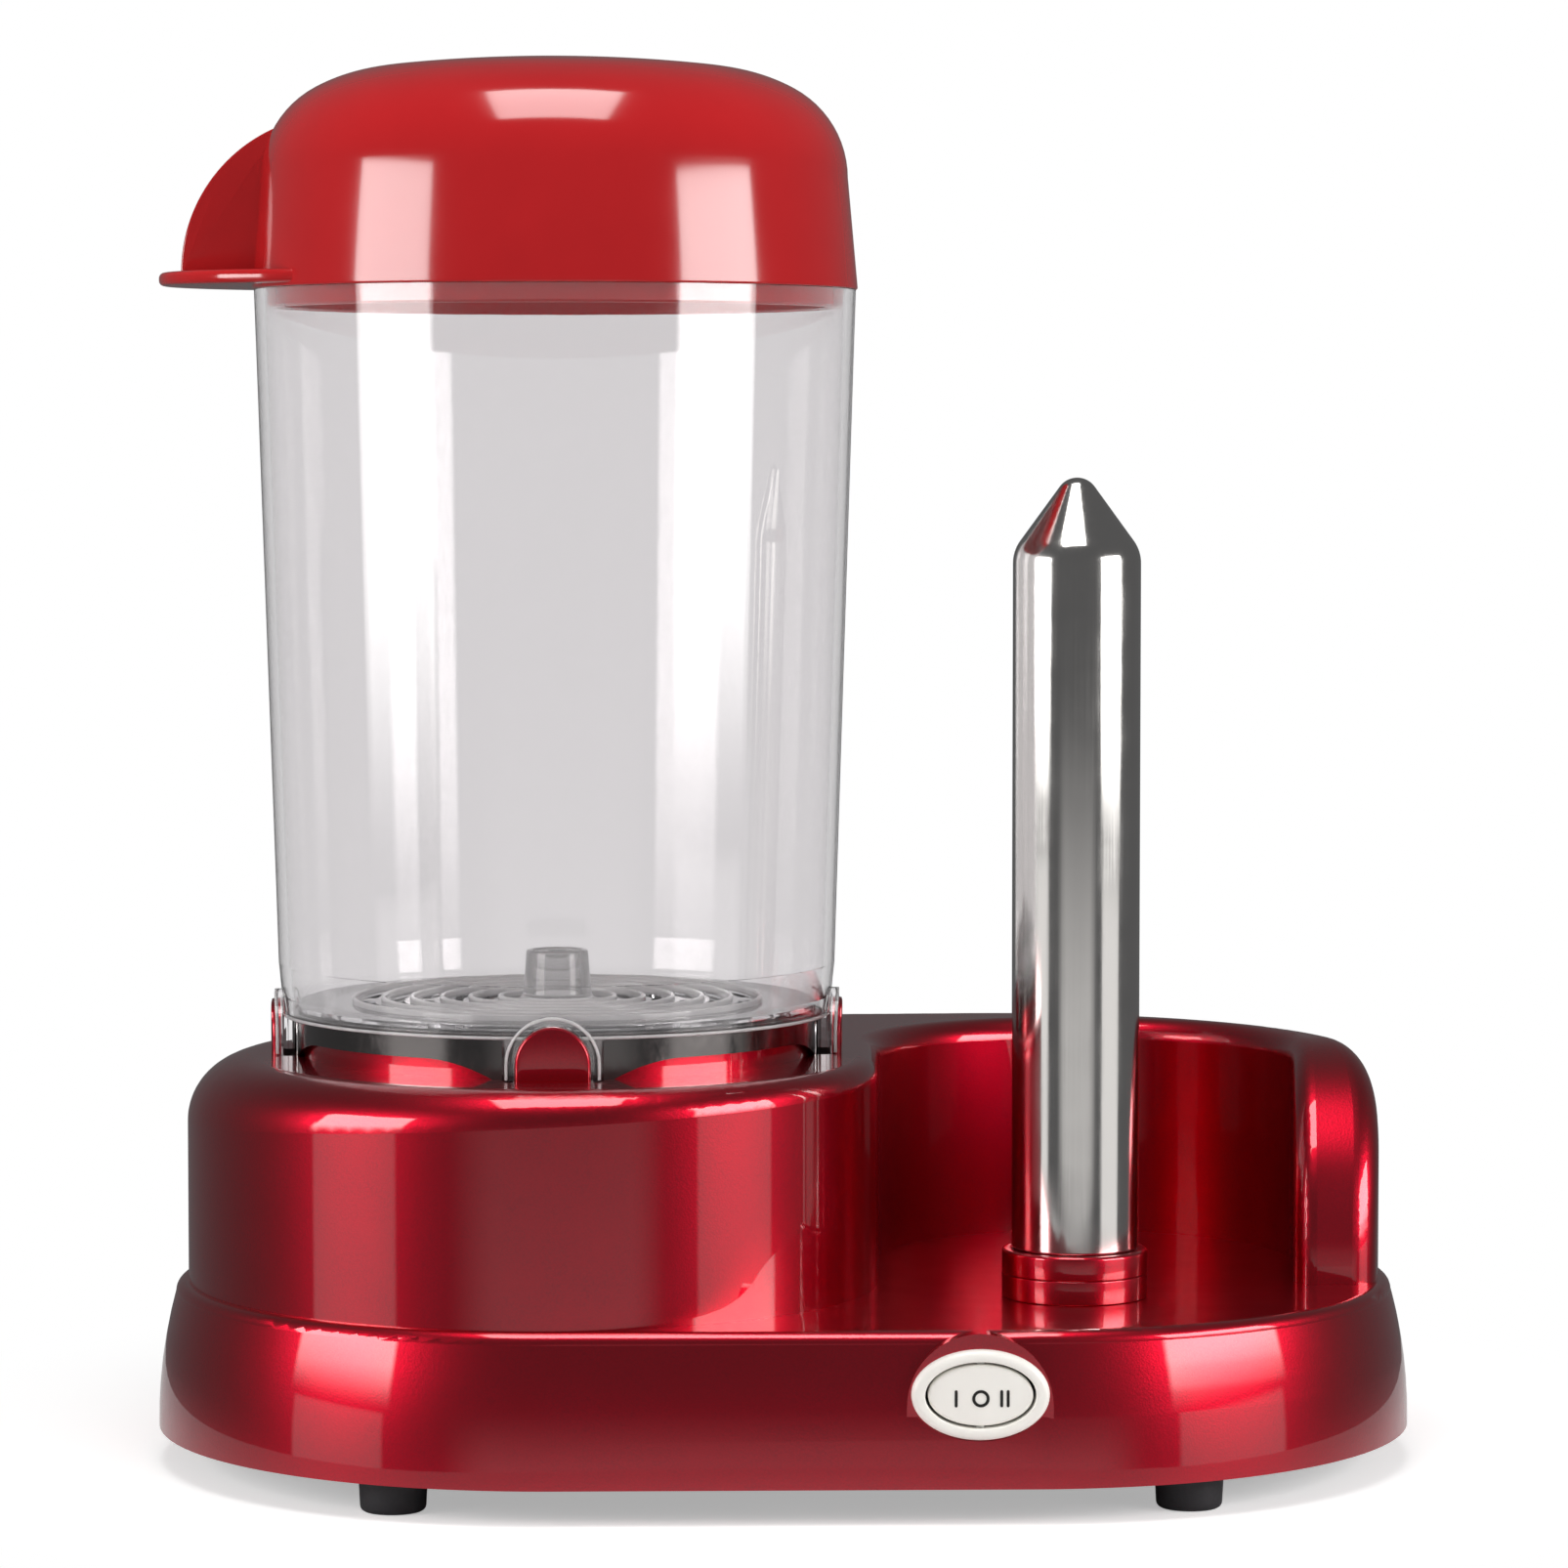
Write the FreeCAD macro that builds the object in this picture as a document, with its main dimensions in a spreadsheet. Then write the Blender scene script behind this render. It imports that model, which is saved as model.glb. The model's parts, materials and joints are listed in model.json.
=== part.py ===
import FreeCAD, Part
import math
import os
import Sketcher

# Hot dog toaster: a steamer drum with a clear container and a domed lid on the left, and a
# bun nest with one heated spike on the right, on one rounded plinth.
# Millimetres. +X right, +Y back, +Z up. The origin is on the ground under the plinth's middle.

doc = FreeCAD.newDocument("hot_dog_toaster")
sheet = doc.addObject("Spreadsheet::Sheet", "sizes")

DRIVING_SIZES = [
    # the plan: two half rounds joined by straight sides
    ("arc_offset", 49.0),
    ("plinth_step", 2.7),
    ("plinth_flare", 3.8),
    ("plinth_side_arc", 105.0),
    ("plinth_edge", 2.5),
    ("plinth_base", 7.5),
    ("deck_level", 39.0),
    ("shell_wall", 2.6),
    ("wall_draft", 0.9),
    ("fit_gap", 0.1),
    ("hole_gap", 0.2),
    ("overlap", 0.5),
    # the upper housing with the drum and the bun nest
    ("housing_radius", 79.6),
    ("housing_top", 87.5),
    ("drum_shoulder", 7.0),
    ("nest_shoulder", 14.0),
    ("drum_front_inset", 10.6),
    ("nest_arm_width", 16.8),
    ("nest_back_width", 18.8),
    ("nest_radius", 45.3),
    ("nest_lean", 5.5),
    ("nest_edge", 4.5),
    ("arm_fall", 44.5),
    ("arm_fall_back", 22.0),
    ("arm_outer_edge", 6.0),
    ("housing_boss_radius", 4.5),
    ("drum_boss_inset", 8.9),
    ("middle_boss_along", 23.0),
    ("middle_boss_inset", 10.1),
    ("nest_boss_inset", 8.9),
    ("arm_boss_inset", 8.7),
    ("arm_boss_back", 2.0),
    # the drum's seat for the pan and the container
    ("well_radius", 53.0),
    ("seat_radius", 55.2),
    ("seat_height", 5.0),
    ("seat_drop", 5.5),
    ("seat_wall", 2.4),
    ("tongue_inner_radius", 59.7),
    ("tongue_thickness", 1.8),
    ("tongue_width", 15.5),
    ("tongue_height", 11.3),
    # the water pan and what heats it
    ("pan_wall", 1.2),
    ("pan_radius", 50.0),
    ("pan_skirt_radius", 56.7),
    ("pan_rim_level", 97.0),
    ("pan_depth", 34.0),
    ("pan_corner", 4.0),
    ("pan_arch_height", 3.9),
    ("pan_arch_half_width", 16.2),
    ("pan_arch_curve", 27.0),
    ("stud_radius", 2.5),
    ("stud_length", 16.0),
    ("heater_radius", 44.0),
    ("heater_thickness", 6.0),
    ("bracket_width", 16.0),
    ("bracket_thickness", 1.5),
    ("bracket_overhang", 9.0),
    ("bracket_boss_radius", 4.5),
    ("thermostat_radius", 8.0),
    ("thermostat_height", 7.0),
    ("thermostat_along", 26.0),
    ("thermostat_blade_along", 4.0),
    ("heater_end_radius", 2.5),
    ("heater_end_length", 8.5),
    ("heater_end_along", 20.0),
    ("heater_end_pitch", 14.0),
    ("fuse_gap", 1.0),
    ("nut_size", 4.6),
    ("nut_height", 4.0),
    ("gasket_edge", 0.6),
    ("fuse_radius", 2.2),
    ("fuse_length", 15.0),
    # the container
    ("container_top", 251.2),
    ("container_top_radius", 64.4),
    ("container_step_radius", 59.9),
    ("container_foot_radius", 59.2),
    ("container_step_level", 107.0),
    ("container_straight_level", 100.0),
    ("container_foot_level", 96.0),
    ("container_wall", 2.2),
    ("tab_width", 21.0),
    ("rib_thickness", 1.7),
    ("rib_stand", 1.7),
    ("rib_gap", 0.45),
    ("rib_root", 0.4),
    # the steam tray
    ("tray_radius", 55.8),
    ("tray_thickness", 1.6),
    ("tray_post_radius", 6.7),
    ("tray_post_foot_radius", 7.5),
    ("tray_post_height", 10.8),
    ("tray_post_bore", 5.2),
    ("tray_bore_floor", 1.0),
    ("slot_first_radius", 15.5),
    ("slot_pitch", 6.3),
    ("slot_width", 3.0),
    ("slot_bridge", 5.0),
    # the lid
    ("lid_overhang", 0.4),
    ("lid_draft", 2.11),
    ("lid_crown_slope", 6.78),
    ("lid_curve_arc", 37.8),
    ("lid_corner_slope", 28.3),
    ("lid_corner_arc", 21.4),
    ("lid_height", 49.2),
    ("lid_wall", 2.4),
    ("spigot_depth", 4.0),
    ("spigot_clearance", 0.5),
    ("spigot_ledge", 2.4),
    ("spigot_wall", 2.0),
    ("handle_overhang", 19.9),
    ("handle_plate_radius", 36.0),
    ("handle_plate_thickness", 2.8),
    ("handle_lift", 0.7),
    ("handle_fin_thickness", 2.8),
    ("handle_fin_radius", 33.8),
    ("handle_fin_inset", 18.6),
    # the bun spike
    ("spike_offset", 6.0),
    ("spike_ahead", 50.0),
    ("spike_radius", 13.4),
    ("spike_wall", 1.0),
    ("spike_neck_radius", 12.8),
    ("spike_shoulder_level", 196.0),
    ("spike_cone_angle", 36.0),
    ("spike_shoulder_arc", 8.0),
    ("spike_tip_arc", 4.5),
    ("collar_radius", 15.4),
    ("collar_gap", 0.2),
    ("collar_ring_height", 5.1),
    ("collar_groove", 0.25),
    ("gasket_thickness", 1.0),
    ("spike_plug_height", 6.0),
    ("spike_stud_radius", 5.0),
    ("spike_stud_length", 14.0),
    ("spike_nut_size", 9.5),
    ("spike_nut_height", 5.0),
    ("washer_radius", 11.0),
    ("washer_thickness", 1.2),
    ("cartridge_radius", 5.0),
    ("cartridge_length", 120.0),
    ("lead_bore", 2.0),
    # the switch
    ("switch_along", 37.6),
    ("switch_level", 26.8),
    ("pad_half_width", 14.85),
    ("pad_inset", 0.9),
    ("pad_depth", 7.0),
    ("pad_drop", 2.6),
    ("bezel_room", 0.3),
    ("bezel_half_width", 14.0),
    ("bezel_half_height", 9.2),
    ("bezel_stand", 2.2),
    ("bezel_edge", 1.5),
    ("sleeve_wall", 1.3),
    ("sleeve_depth", 7.2),
    ("rocker_half_width", 10.65),
    ("rocker_half_height", 6.2),
    ("rocker_gap", 0.6),
    ("rocker_recess", 0.5),
    ("rocker_thickness", 3.5),
    ("rocker_heel_depth", 3.8),
    ("rocker_heel_half", 7.0),
    ("rocker_pivot_depth", 2.5),
    ("rocker_pin_radius", 1.0),
    ("rocker_pin_play", 0.05),
    ("mark_stand", 0.12),
    ("mark_height", 3.5),
    ("mark_stroke", 0.55),
    ("mark_one_along", 5.0),
    ("mark_two_along", 4.85),
    ("mark_two_pitch", 1.3),
    ("switch_box_half_width", 11.0),
    ("switch_box_half_height", 7.0),
    ("switch_box_depth", 16.0),
    ("blade_width", 4.8),
    ("blade_thickness", 0.8),
    ("blade_length", 8.0),
    ("blade_pitch", 7.0),
    # the base plate, the feet and the cord's inlet
    ("plate_thickness", 2.5),
    ("plate_recess", 2.0),
    ("plate_gap", 0.4),
    ("post_radius", 4.5),
    ("post_inset", 21.2),
    ("post_angle", 34.0),
    ("middle_post_inset", 16.1),
    ("foot_inset", 12.4),
    ("foot_angle", 63.57),
    ("foot_radius", 7.25),
    ("foot_seat_depth", 4.8),
    ("foot_taper", 0.5),
    ("screw_radius", 1.6),
    ("screw_head_radius", 3.0),
    ("screw_head_height", 1.8),
    ("screw_length", 12.0),
    ("vent_width", 3.0),
    ("vent_length", 34.0),
    ("vent_pitch", 8.0),
    ("gland_along", -20.0),
    ("gland_level", 22.0),
    ("gland_inset", 0.4),
    ("gland_pad_margin", 1.5),
    ("gland_stand", 1.7),
    ("gland_clip_radius", 7.0),
    ("gland_clip_thickness", 2.0),
    ("gland_flange_radius", 8.0),
    ("gland_neck_radius", 5.6),
    ("gland_bore", 3.3),
    ("gland_depth", 11.0),
    ("clamp_length", 26.0),
    ("clamp_width", 8.0),
    ("clamp_thickness", 3.0),
    ("clamp_ahead", 25.7),
    ("clamp_screw_inset", 4.0),
    ("clamp_post_radius", 3.0),
    ("clamp_post_height", 4.0),
    ("block_length", 36.0),
    ("block_width", 16.0),
    ("block_height", 11.0),
    ("block_hole", 2.0),
    ("block_along", 6.0),
    ("block_across", 20.0),
]


class Size:
    """A number together with the sheet formula that it comes from."""

    def __init__(self, number, formula):
        self.number = float(number)
        self.formula = formula

    def joined(self, other, sign, number):
        return Size(number, "(%s %s %s)" % (self.formula, sign, formula_of(other)))

    def __float__(self):
        return self.number

    def __add__(self, other):
        return self.joined(other, "+", self.number + float(other))

    def __sub__(self, other):
        return self.joined(other, "-", self.number - float(other))

    def __mul__(self, other):
        return self.joined(other, "*", self.number * float(other))

    def __truediv__(self, other):
        return self.joined(other, "/", self.number / float(other))

    def __neg__(self):
        return Size(-self.number, "(0 - %s)" % self.formula)

    def __rsub__(self, other):
        return Size(float(other) - self.number, "(%s - %s)" % (formula_of(other), self.formula))

    __radd__ = __add__

    __rmul__ = __mul__


def sine(angle):
    return Size(math.sin(math.radians(float(angle))), "sin(%s * 1 deg)" % angle.formula)


def cosine(angle):
    return Size(math.cos(math.radians(float(angle))), "cos(%s * 1 deg)" % angle.formula)


def formula_of(value):
    if isinstance(value, Size):
        return value.formula
    return "(%.9f)" % float(value)


class Sizes:
    """The driving sizes, each read by its own name."""

    def __init__(self, rows):
        for number, (name, value) in enumerate(rows, start=1):
            cell = "A%d" % number
            sheet.set(cell, str(value))
            sheet.setAlias(cell, name)
            setattr(self, name, Size(value, "sizes." + name))


S = Sizes(DRIVING_SIZES)
doc.recompute()

# ---------------------------------------------------------------- small helpers

X_AXIS = FreeCAD.Vector(1, 0, 0)
Y_AXIS = FreeCAD.Vector(0, 1, 0)
Z_AXIS = FreeCAD.Vector(0, 0, 1)
UPRIGHT = FreeCAD.Rotation()
FACING_FRONT = FreeCAD.Rotation(X_AXIS, 90)
FACING_BACK = FreeCAD.Rotation(X_AXIS, -90)
FACING_RIGHT = FreeCAD.Rotation(Y_AXIS, 90)
SQUARE_TURNS = (0, 90, 180, 270)

nodes = []


def bind(thing, name, value):
    """Give a property its value, tied to the sheet where it comes from there."""
    if isinstance(value, Size):
        thing.setExpression(name, value.formula)
    else:
        setattr(thing, name, value)


def place(thing, x, y, z, turn=UPRIGHT):
    """Put an object at a point, each coordinate tied to the sheet."""
    base = FreeCAD.Vector(float(x), float(y), float(z))
    thing.Placement = FreeCAD.Placement(base, turn)
    for axis, value in (("x", x), ("y", y), ("z", z)):
        if isinstance(value, Size):
            thing.setExpression("Placement.Base." + axis, value.formula)
    return thing


def cylinder(name, radius, height, x, y, z, turn=UPRIGHT):
    thing = doc.addObject("Part::Cylinder", name)
    bind(thing, "Radius", radius)
    bind(thing, "Height", height)
    return place(thing, x, y, z, turn)


def cone(name, low_radius, high_radius, height, x, y, z):
    thing = doc.addObject("Part::Cone", name)
    bind(thing, "Radius1", low_radius)
    bind(thing, "Radius2", high_radius)
    bind(thing, "Height", height)
    return place(thing, x, y, z)


def box(name, length, width, height, x, y, z, turn=UPRIGHT):
    thing = doc.addObject("Part::Box", name)
    bind(thing, "Length", length)
    bind(thing, "Width", width)
    bind(thing, "Height", height)
    return place(thing, x, y, z, turn)


def block(name, length, width, height, x, y, z):
    """A box with its middle over a point in plan and its foot at z."""
    return box(name, length, width, height, x - length / 2, y - width / 2, z)


def fuse(name, things):
    thing = doc.addObject("Part::MultiFuse", name)
    thing.Shapes = list(things)
    thing.Refine = True
    return thing


def cut(name, base, tools):
    """Take away every tool from the base."""
    tools = list(tools)
    thing = doc.addObject("Part::Cut", name)
    thing.Base = base
    thing.Tool = tools[0] if len(tools) == 1 else fuse(name + "_tools", tools)
    thing.Refine = True
    return thing


def common(name, first, second):
    thing = doc.addObject("Part::MultiCommon", name)
    thing.Shapes = [first, second]
    return thing


def group(name, things):
    """Like pieces that stay separate solids in one node."""
    thing = doc.addObject("Part::Compound", name)
    thing.Links = list(things)
    return thing


def tube(name, outer, inner, height, x, y, z, turn=UPRIGHT):
    wall = cylinder(name + "_outside", outer, height, x, y, z, turn)
    bore = cylinder(name + "_bore", inner, height, x, y, z, turn)
    return cut(name, wall, [bore])


def node(thing, name):
    """Name an object as one piece of the toaster."""
    thing.Label = name
    nodes.append(thing)
    return thing


def origin_plane(body, role):
    return [item for item in body.Origin.OriginFeatures if item.Role == role][0]


def arc_centre(start, end, radius, side):
    """Centre of the short arc from start to end, on the left or right of the way."""
    middle = (start + end) / 2
    way = end - start
    across = FreeCAD.Vector(-way.y, way.x, 0).normalize()
    rise = math.sqrt(max(radius ** 2 - way.Length ** 2 / 4, 0))
    return middle + across * (rise if side == "left" else -rise)


def fix_point(sketch, segment, end, x, y):
    """Tie a sketch point's distance from both axes."""
    for kind, value, axis in (("DistanceX", x, -2), ("DistanceY", y, -1)):
        if float(value) == 0:
            sketch.addConstraint(Sketcher.Constraint("PointOnObject", segment, end, axis))
            continue
        number = sketch.addConstraint(
            Sketcher.Constraint(kind, -1, 1, segment, end, float(value)))
        if isinstance(value, Size):
            sketch.setExpression("Constraints[%d]" % number, value.formula)


def outline(body, name, role, points):
    """A closed sketch through the points.

    A point is (x, y), or (x, y, radius, side) where an arc arrives at it with its centre on
    that side of the way.
    """
    sketch = body.newObject("Sketcher::SketchObject", name)
    sketch.AttachmentSupport = [(origin_plane(body, role), "")]
    sketch.MapMode = "FlatFace"
    ends = []
    for index, point in enumerate(points):
        before = points[index - 1]
        start = FreeCAD.Vector(float(before[0]), float(before[1]), 0)
        end = FreeCAD.Vector(float(point[0]), float(point[1]), 0)
        if len(point) == 2:
            segment = sketch.addGeometry(Part.LineSegment(start, end), False)
            ends.append((segment, 1, 2))
            continue
        radius, side = point[2], point[3]
        centre = arc_centre(start, end, float(radius), side)
        first, last = (start, end) if side == "left" else (end, start)
        angles = [math.atan2(p.y - centre.y, p.x - centre.x) for p in (first, last)]
        circle = Part.Circle(centre, Z_AXIS, float(radius))
        segment = sketch.addGeometry(Part.ArcOfCircle(circle, angles[0], angles[1]), False)
        ends.append((segment, 1, 2) if side == "left" else (segment, 2, 1))
        number = sketch.addConstraint(Sketcher.Constraint("Radius", segment, float(radius)))
        if isinstance(radius, Size):
            sketch.setExpression("Constraints[%d]" % number, radius.formula)
    for index, (segment, first, last) in enumerate(ends):
        after, after_first, after_last = ends[(index + 1) % len(ends)]
        sketch.addConstraint(Sketcher.Constraint("Coincident", segment, last, after, after_first))
        fix_point(sketch, segment, last, points[index][0], points[index][1])
    return sketch


def turned(name, points, x, y):
    """A body spun about the upright axis through (x, y)."""
    body = doc.addObject("PartDesign::Body", name)
    sketch = outline(body, name + "_section", "XZ_Plane", points)
    spin = body.newObject("PartDesign::Revolution", name + "_spin")
    spin.Profile = sketch
    spin.ReferenceAxis = (sketch, ["V_Axis"])
    spin.Angle = 360
    sketch.Visibility = False
    body.Tip = spin
    return place(body, x, y, 0)


def padded(name, role, points, length, x, y, z):
    """A body padded evenly to both sides of one of its origin planes."""
    body = doc.addObject("PartDesign::Body", name)
    sketch = outline(body, name + "_section", role, points)
    pad = body.newObject("PartDesign::Pad", name + "_pad")
    pad.Profile = sketch
    pad.Midplane = True
    bind(pad, "Length", length)
    sketch.Visibility = False
    body.Tip = pad
    return place(body, x, y, z)


def oval(name, half_width, half_height, depth, x, front, z):
    """An upright oval block whose front face is at y = front."""
    ring = doc.addObject("Part::Ellipse", name + "_outline")
    bind(ring, "MajorRadius", half_width)
    bind(ring, "MinorRadius", half_height)
    place(ring, x, front, z, FACING_FRONT)
    thing = doc.addObject("Part::Extrusion", name)
    thing.Base = ring
    thing.DirMode = "Custom"
    thing.Dir = Y_AXIS
    bind(thing, "LengthFwd", depth)
    thing.Solid = True
    return thing


def rounded(name, base, chosen):
    """Round edges: chosen(edge) gives a radius, a pair of radii, or None."""
    doc.recompute()
    edges = []
    for number, edge in enumerate(base.Shape.Edges, start=1):
        radii = chosen(edge)
        if radii is None:
            continue
        pair = radii if isinstance(radii, tuple) else (radii, radii)
        edges.append((number, float(pair[0]), float(pair[1])))
    thing = doc.addObject("Part::Fillet", name)
    thing.Base = base
    thing.Edges = edges
    return thing


def mirrored(points):
    """The outline's points, and the same points mirrored about the upright axis."""
    other = []
    for index in range(len(points) - 1, -1, -1):
        x, y = points[index][0], points[index][1]
        after = points[index + 1] if index + 1 < len(points) else (x, y)
        if len(after) == 2:
            other.append((-x, y))
        else:
            other.append((-x, y, after[2], after[3]))
    return points + other


# ---------------------------------------------------------------- shared places

drum_x = -S.arc_offset
plinth_rim_radius = S.housing_radius + S.plinth_step
plinth_radius = plinth_rim_radius + S.plinth_flare
nest_centre_along = S.arc_offset + S.housing_radius - S.nest_arm_width - S.nest_radius
nest_centre_back = S.housing_radius - S.nest_back_width - S.nest_radius
drum_front_arc = S.housing_radius - S.drum_front_inset
deck_underside = S.deck_level - S.shell_wall
plate_low = S.plinth_base + S.plate_recess
plate_high = plate_low + S.plate_thickness
spike_x = nest_centre_along - S.spike_offset
spike_y = nest_centre_back - S.spike_ahead
bracket_reach = S.well_radius + S.bracket_overhang
housing_ceiling = S.housing_top - S.shell_wall


def stadium(name, radius, low, height):
    """A block with half-round ends over the two arc centres."""
    left = cylinder(name + "_left", radius, height, -S.arc_offset, 0, low)
    right = cylinder(name + "_right", radius, height, S.arc_offset, 0, low)
    middle = block(name + "_middle", S.arc_offset * 2, radius * 2, height, 0, 0, low)
    return fuse(name, [left, right, middle])


def swept_stadium(name, side):
    """The plinth's plan carried round one side section, which runs from low to high."""
    low, high = side[0][1], side[-1][1]
    section = [(0, low)] + side + [(0, high)]
    left = turned(name + "_left", section, -S.arc_offset, 0)
    right = turned(name + "_right", section, S.arc_offset, 0)
    middle = padded(name + "_middle", "YZ_Plane", mirrored(side), S.arc_offset * 2, 0, 0, 0)
    return fuse(name, [left, right, middle])


# ---------------------------------------------------------------- plinth

post_along = S.arc_offset + (plinth_radius - S.post_inset) * cosine(S.post_angle)
post_across = (plinth_radius - S.post_inset) * sine(S.post_angle)
middle_post_across = plinth_radius - S.middle_post_inset
foot_along = S.arc_offset + (plinth_radius - S.foot_inset) * cosine(S.foot_angle)
foot_across = (plinth_radius - S.foot_inset) * sine(S.foot_angle)


def post_places():
    corners = [(sx * post_along, sy * post_across) for sx in (-1, 1) for sy in (-1, 1)]
    return corners + [(0, sy * middle_post_across) for sy in (-1, 1)]


rim_level = S.deck_level - S.plinth_edge
rim_flat_radius = plinth_rim_radius - S.plinth_edge + S.fit_gap
outer_side = [
    (plinth_radius, S.plinth_base),
    (plinth_rim_radius, rim_level, S.plinth_side_arc, "left"),
    (rim_flat_radius, S.deck_level, S.plinth_edge, "left"),
]
INNER_BEND_SHARE = 0.4
inner_bend = S.plinth_base + (S.deck_level - S.plinth_base) * INNER_BEND_SHARE
inner_side = [
    (plinth_radius - S.shell_wall, S.plinth_base - S.overlap),
    (plinth_radius - S.shell_wall - S.wall_draft, inner_bend),
    (plinth_rim_radius - S.shell_wall, deck_underside),
]
plinth_solid = swept_stadium("plinth_solid", outer_side)
plinth_hollow = swept_stadium("plinth_hollow", inner_side)

pad_top_level = S.switch_level - S.pad_drop
pad_face = S.pad_inset - plinth_radius
gland_face = plinth_radius - S.gland_inset
switch_pad_arch = cylinder("switch_pad_arch", S.pad_half_width, S.pad_depth, S.switch_along,
                           pad_face + S.pad_depth, pad_top_level, FACING_FRONT)
switch_pad_arch.Angle = 180
switch_pad_foot = box("switch_pad_foot", S.pad_half_width * 2, S.pad_depth,
                      pad_top_level - plate_high, S.switch_along - S.pad_half_width,
                      pad_face, plate_high)
gland_pad = cylinder("gland_pad", S.gland_flange_radius + S.gland_pad_margin, S.pad_depth,
                     S.gland_along, gland_face - S.pad_depth, S.gland_level, FACING_BACK)
deck_posts = [
    cylinder("deck_post_%d" % number, S.post_radius, deck_underside - plate_high + S.overlap,
             x, y, plate_high)
    for number, (x, y) in enumerate(post_places())
]
plinth_shell = cut("plinth_shell", plinth_solid, [plinth_hollow])
plinth_body = fuse("plinth_body", [plinth_shell, switch_pad_arch, switch_pad_foot, gland_pad]
                   + deck_posts)

drum_boss_spread = (S.housing_radius - S.drum_boss_inset) * math.sqrt(0.5)
BOSS_PLACES = [
    (drum_x - drum_boss_spread, -drum_boss_spread),
    (drum_x - drum_boss_spread, drum_boss_spread),
    (S.middle_boss_along, S.housing_radius - S.middle_boss_inset),
    (nest_centre_along, S.housing_radius - S.nest_boss_inset),
    (S.arc_offset + S.housing_radius - S.arm_boss_inset, S.arm_boss_back),
]
well_cut = cylinder("deck_well", S.well_radius, S.shell_wall * 3, drum_x, 0,
                    deck_underside - S.shell_wall)
spike_stud_hole = cylinder("spike_stud_hole", S.spike_stud_radius + S.hole_gap, S.shell_wall * 3,
                           spike_x, spike_y, deck_underside - S.shell_wall)
sleeve_half_width = S.rocker_half_width + S.rocker_gap + S.sleeve_wall
sleeve_half_height = S.rocker_half_height + S.rocker_gap + S.sleeve_wall
switch_hole = oval("switch_hole", sleeve_half_width + S.fit_gap, sleeve_half_height + S.fit_gap,
                   S.pad_depth * 2, S.switch_along, pad_face - S.overlap, S.switch_level)
bezel_seat = oval("bezel_seat", S.bezel_half_width + S.bezel_room,
                  S.bezel_half_height + S.bezel_room, S.pad_depth, S.switch_along,
                  pad_face - S.pad_depth, S.switch_level)
gland_hole = cylinder("gland_hole", S.gland_neck_radius, S.pad_depth * 3, S.gland_along,
                      gland_face - S.pad_depth * 2, S.gland_level, FACING_BACK)
gland_seat = cylinder("gland_seat", S.gland_flange_radius + S.bezel_room, S.pad_depth,
                      S.gland_along, gland_face, S.gland_level, FACING_BACK)
boss_holes = [
    cylinder("deck_screw_hole_%d" % number, S.screw_radius, S.shell_wall * 3, x, y,
             deck_underside - S.shell_wall)
    for number, (x, y) in enumerate(BOSS_PLACES)
]
post_holes = [
    cylinder("post_screw_hole_%d" % number, S.screw_radius, S.screw_length, x, y,
             plate_high - S.overlap)
    for number, (x, y) in enumerate(post_places())
]
node(cut("plinth", plinth_body,
         [well_cut, spike_stud_hole, switch_hole, bezel_seat, gland_hole, gland_seat]
         + boss_holes + post_holes), "plinth")

# ---------------------------------------------------------------- upper housing


def unit(degrees):
    angle = math.radians(degrees)
    return FreeCAD.Vector(math.cos(angle), math.sin(angle), 0)


DRUM_ARC_MIDDLE = -40


def nest_face():
    """The plan area that the bun nest takes out of the upper housing.

    The drum's round front turns into the nest's side, the half-round back and the leaning
    side wall.
    """
    outer = float(S.housing_radius)
    drum_arc = float(drum_front_arc)
    nest_arc = float(S.nest_radius)
    far = outer * 2
    drum_centre = FreeCAD.Vector(float(drum_x), drum_arc - outer, 0)
    nest_centre = FreeCAD.Vector(float(nest_centre_along), float(nest_centre_back), 0)
    between = nest_centre - drum_centre
    turn = math.atan2(between.y, between.x) - math.acos((drum_arc + nest_arc) / between.Length)
    side_normal = unit(math.degrees(turn))
    drum_start = drum_centre + unit(-90) * drum_arc
    drum_middle = drum_centre + unit(DRUM_ARC_MIDDLE) * drum_arc
    drum_end = drum_centre + side_normal * drum_arc
    nest_start = nest_centre - side_normal * nest_arc
    nest_middle = nest_centre + unit(90) * nest_arc
    lean_normal = unit(-float(S.nest_lean))
    nest_end = nest_centre + lean_normal * nest_arc
    way = FreeCAD.Vector(lean_normal.y, -lean_normal.x, 0)
    lean_end = nest_end + way * far
    corner_left = FreeCAD.Vector(drum_start.x, lean_end.y, 0)
    edges = [
        Part.Arc(drum_start, drum_middle, drum_end).toShape(),
        Part.LineSegment(drum_end, nest_start).toShape(),
        Part.Arc(nest_start, nest_middle, nest_end).toShape(),
        Part.LineSegment(nest_end, lean_end).toShape(),
        Part.LineSegment(lean_end, corner_left).toShape(),
        Part.LineSegment(corner_left, drum_start).toShape(),
    ]
    return Part.Face(Part.Wire(edges))


arm_front = S.arm_fall_back - S.arm_fall
arm_fall_level = S.housing_top - S.arm_fall


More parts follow.
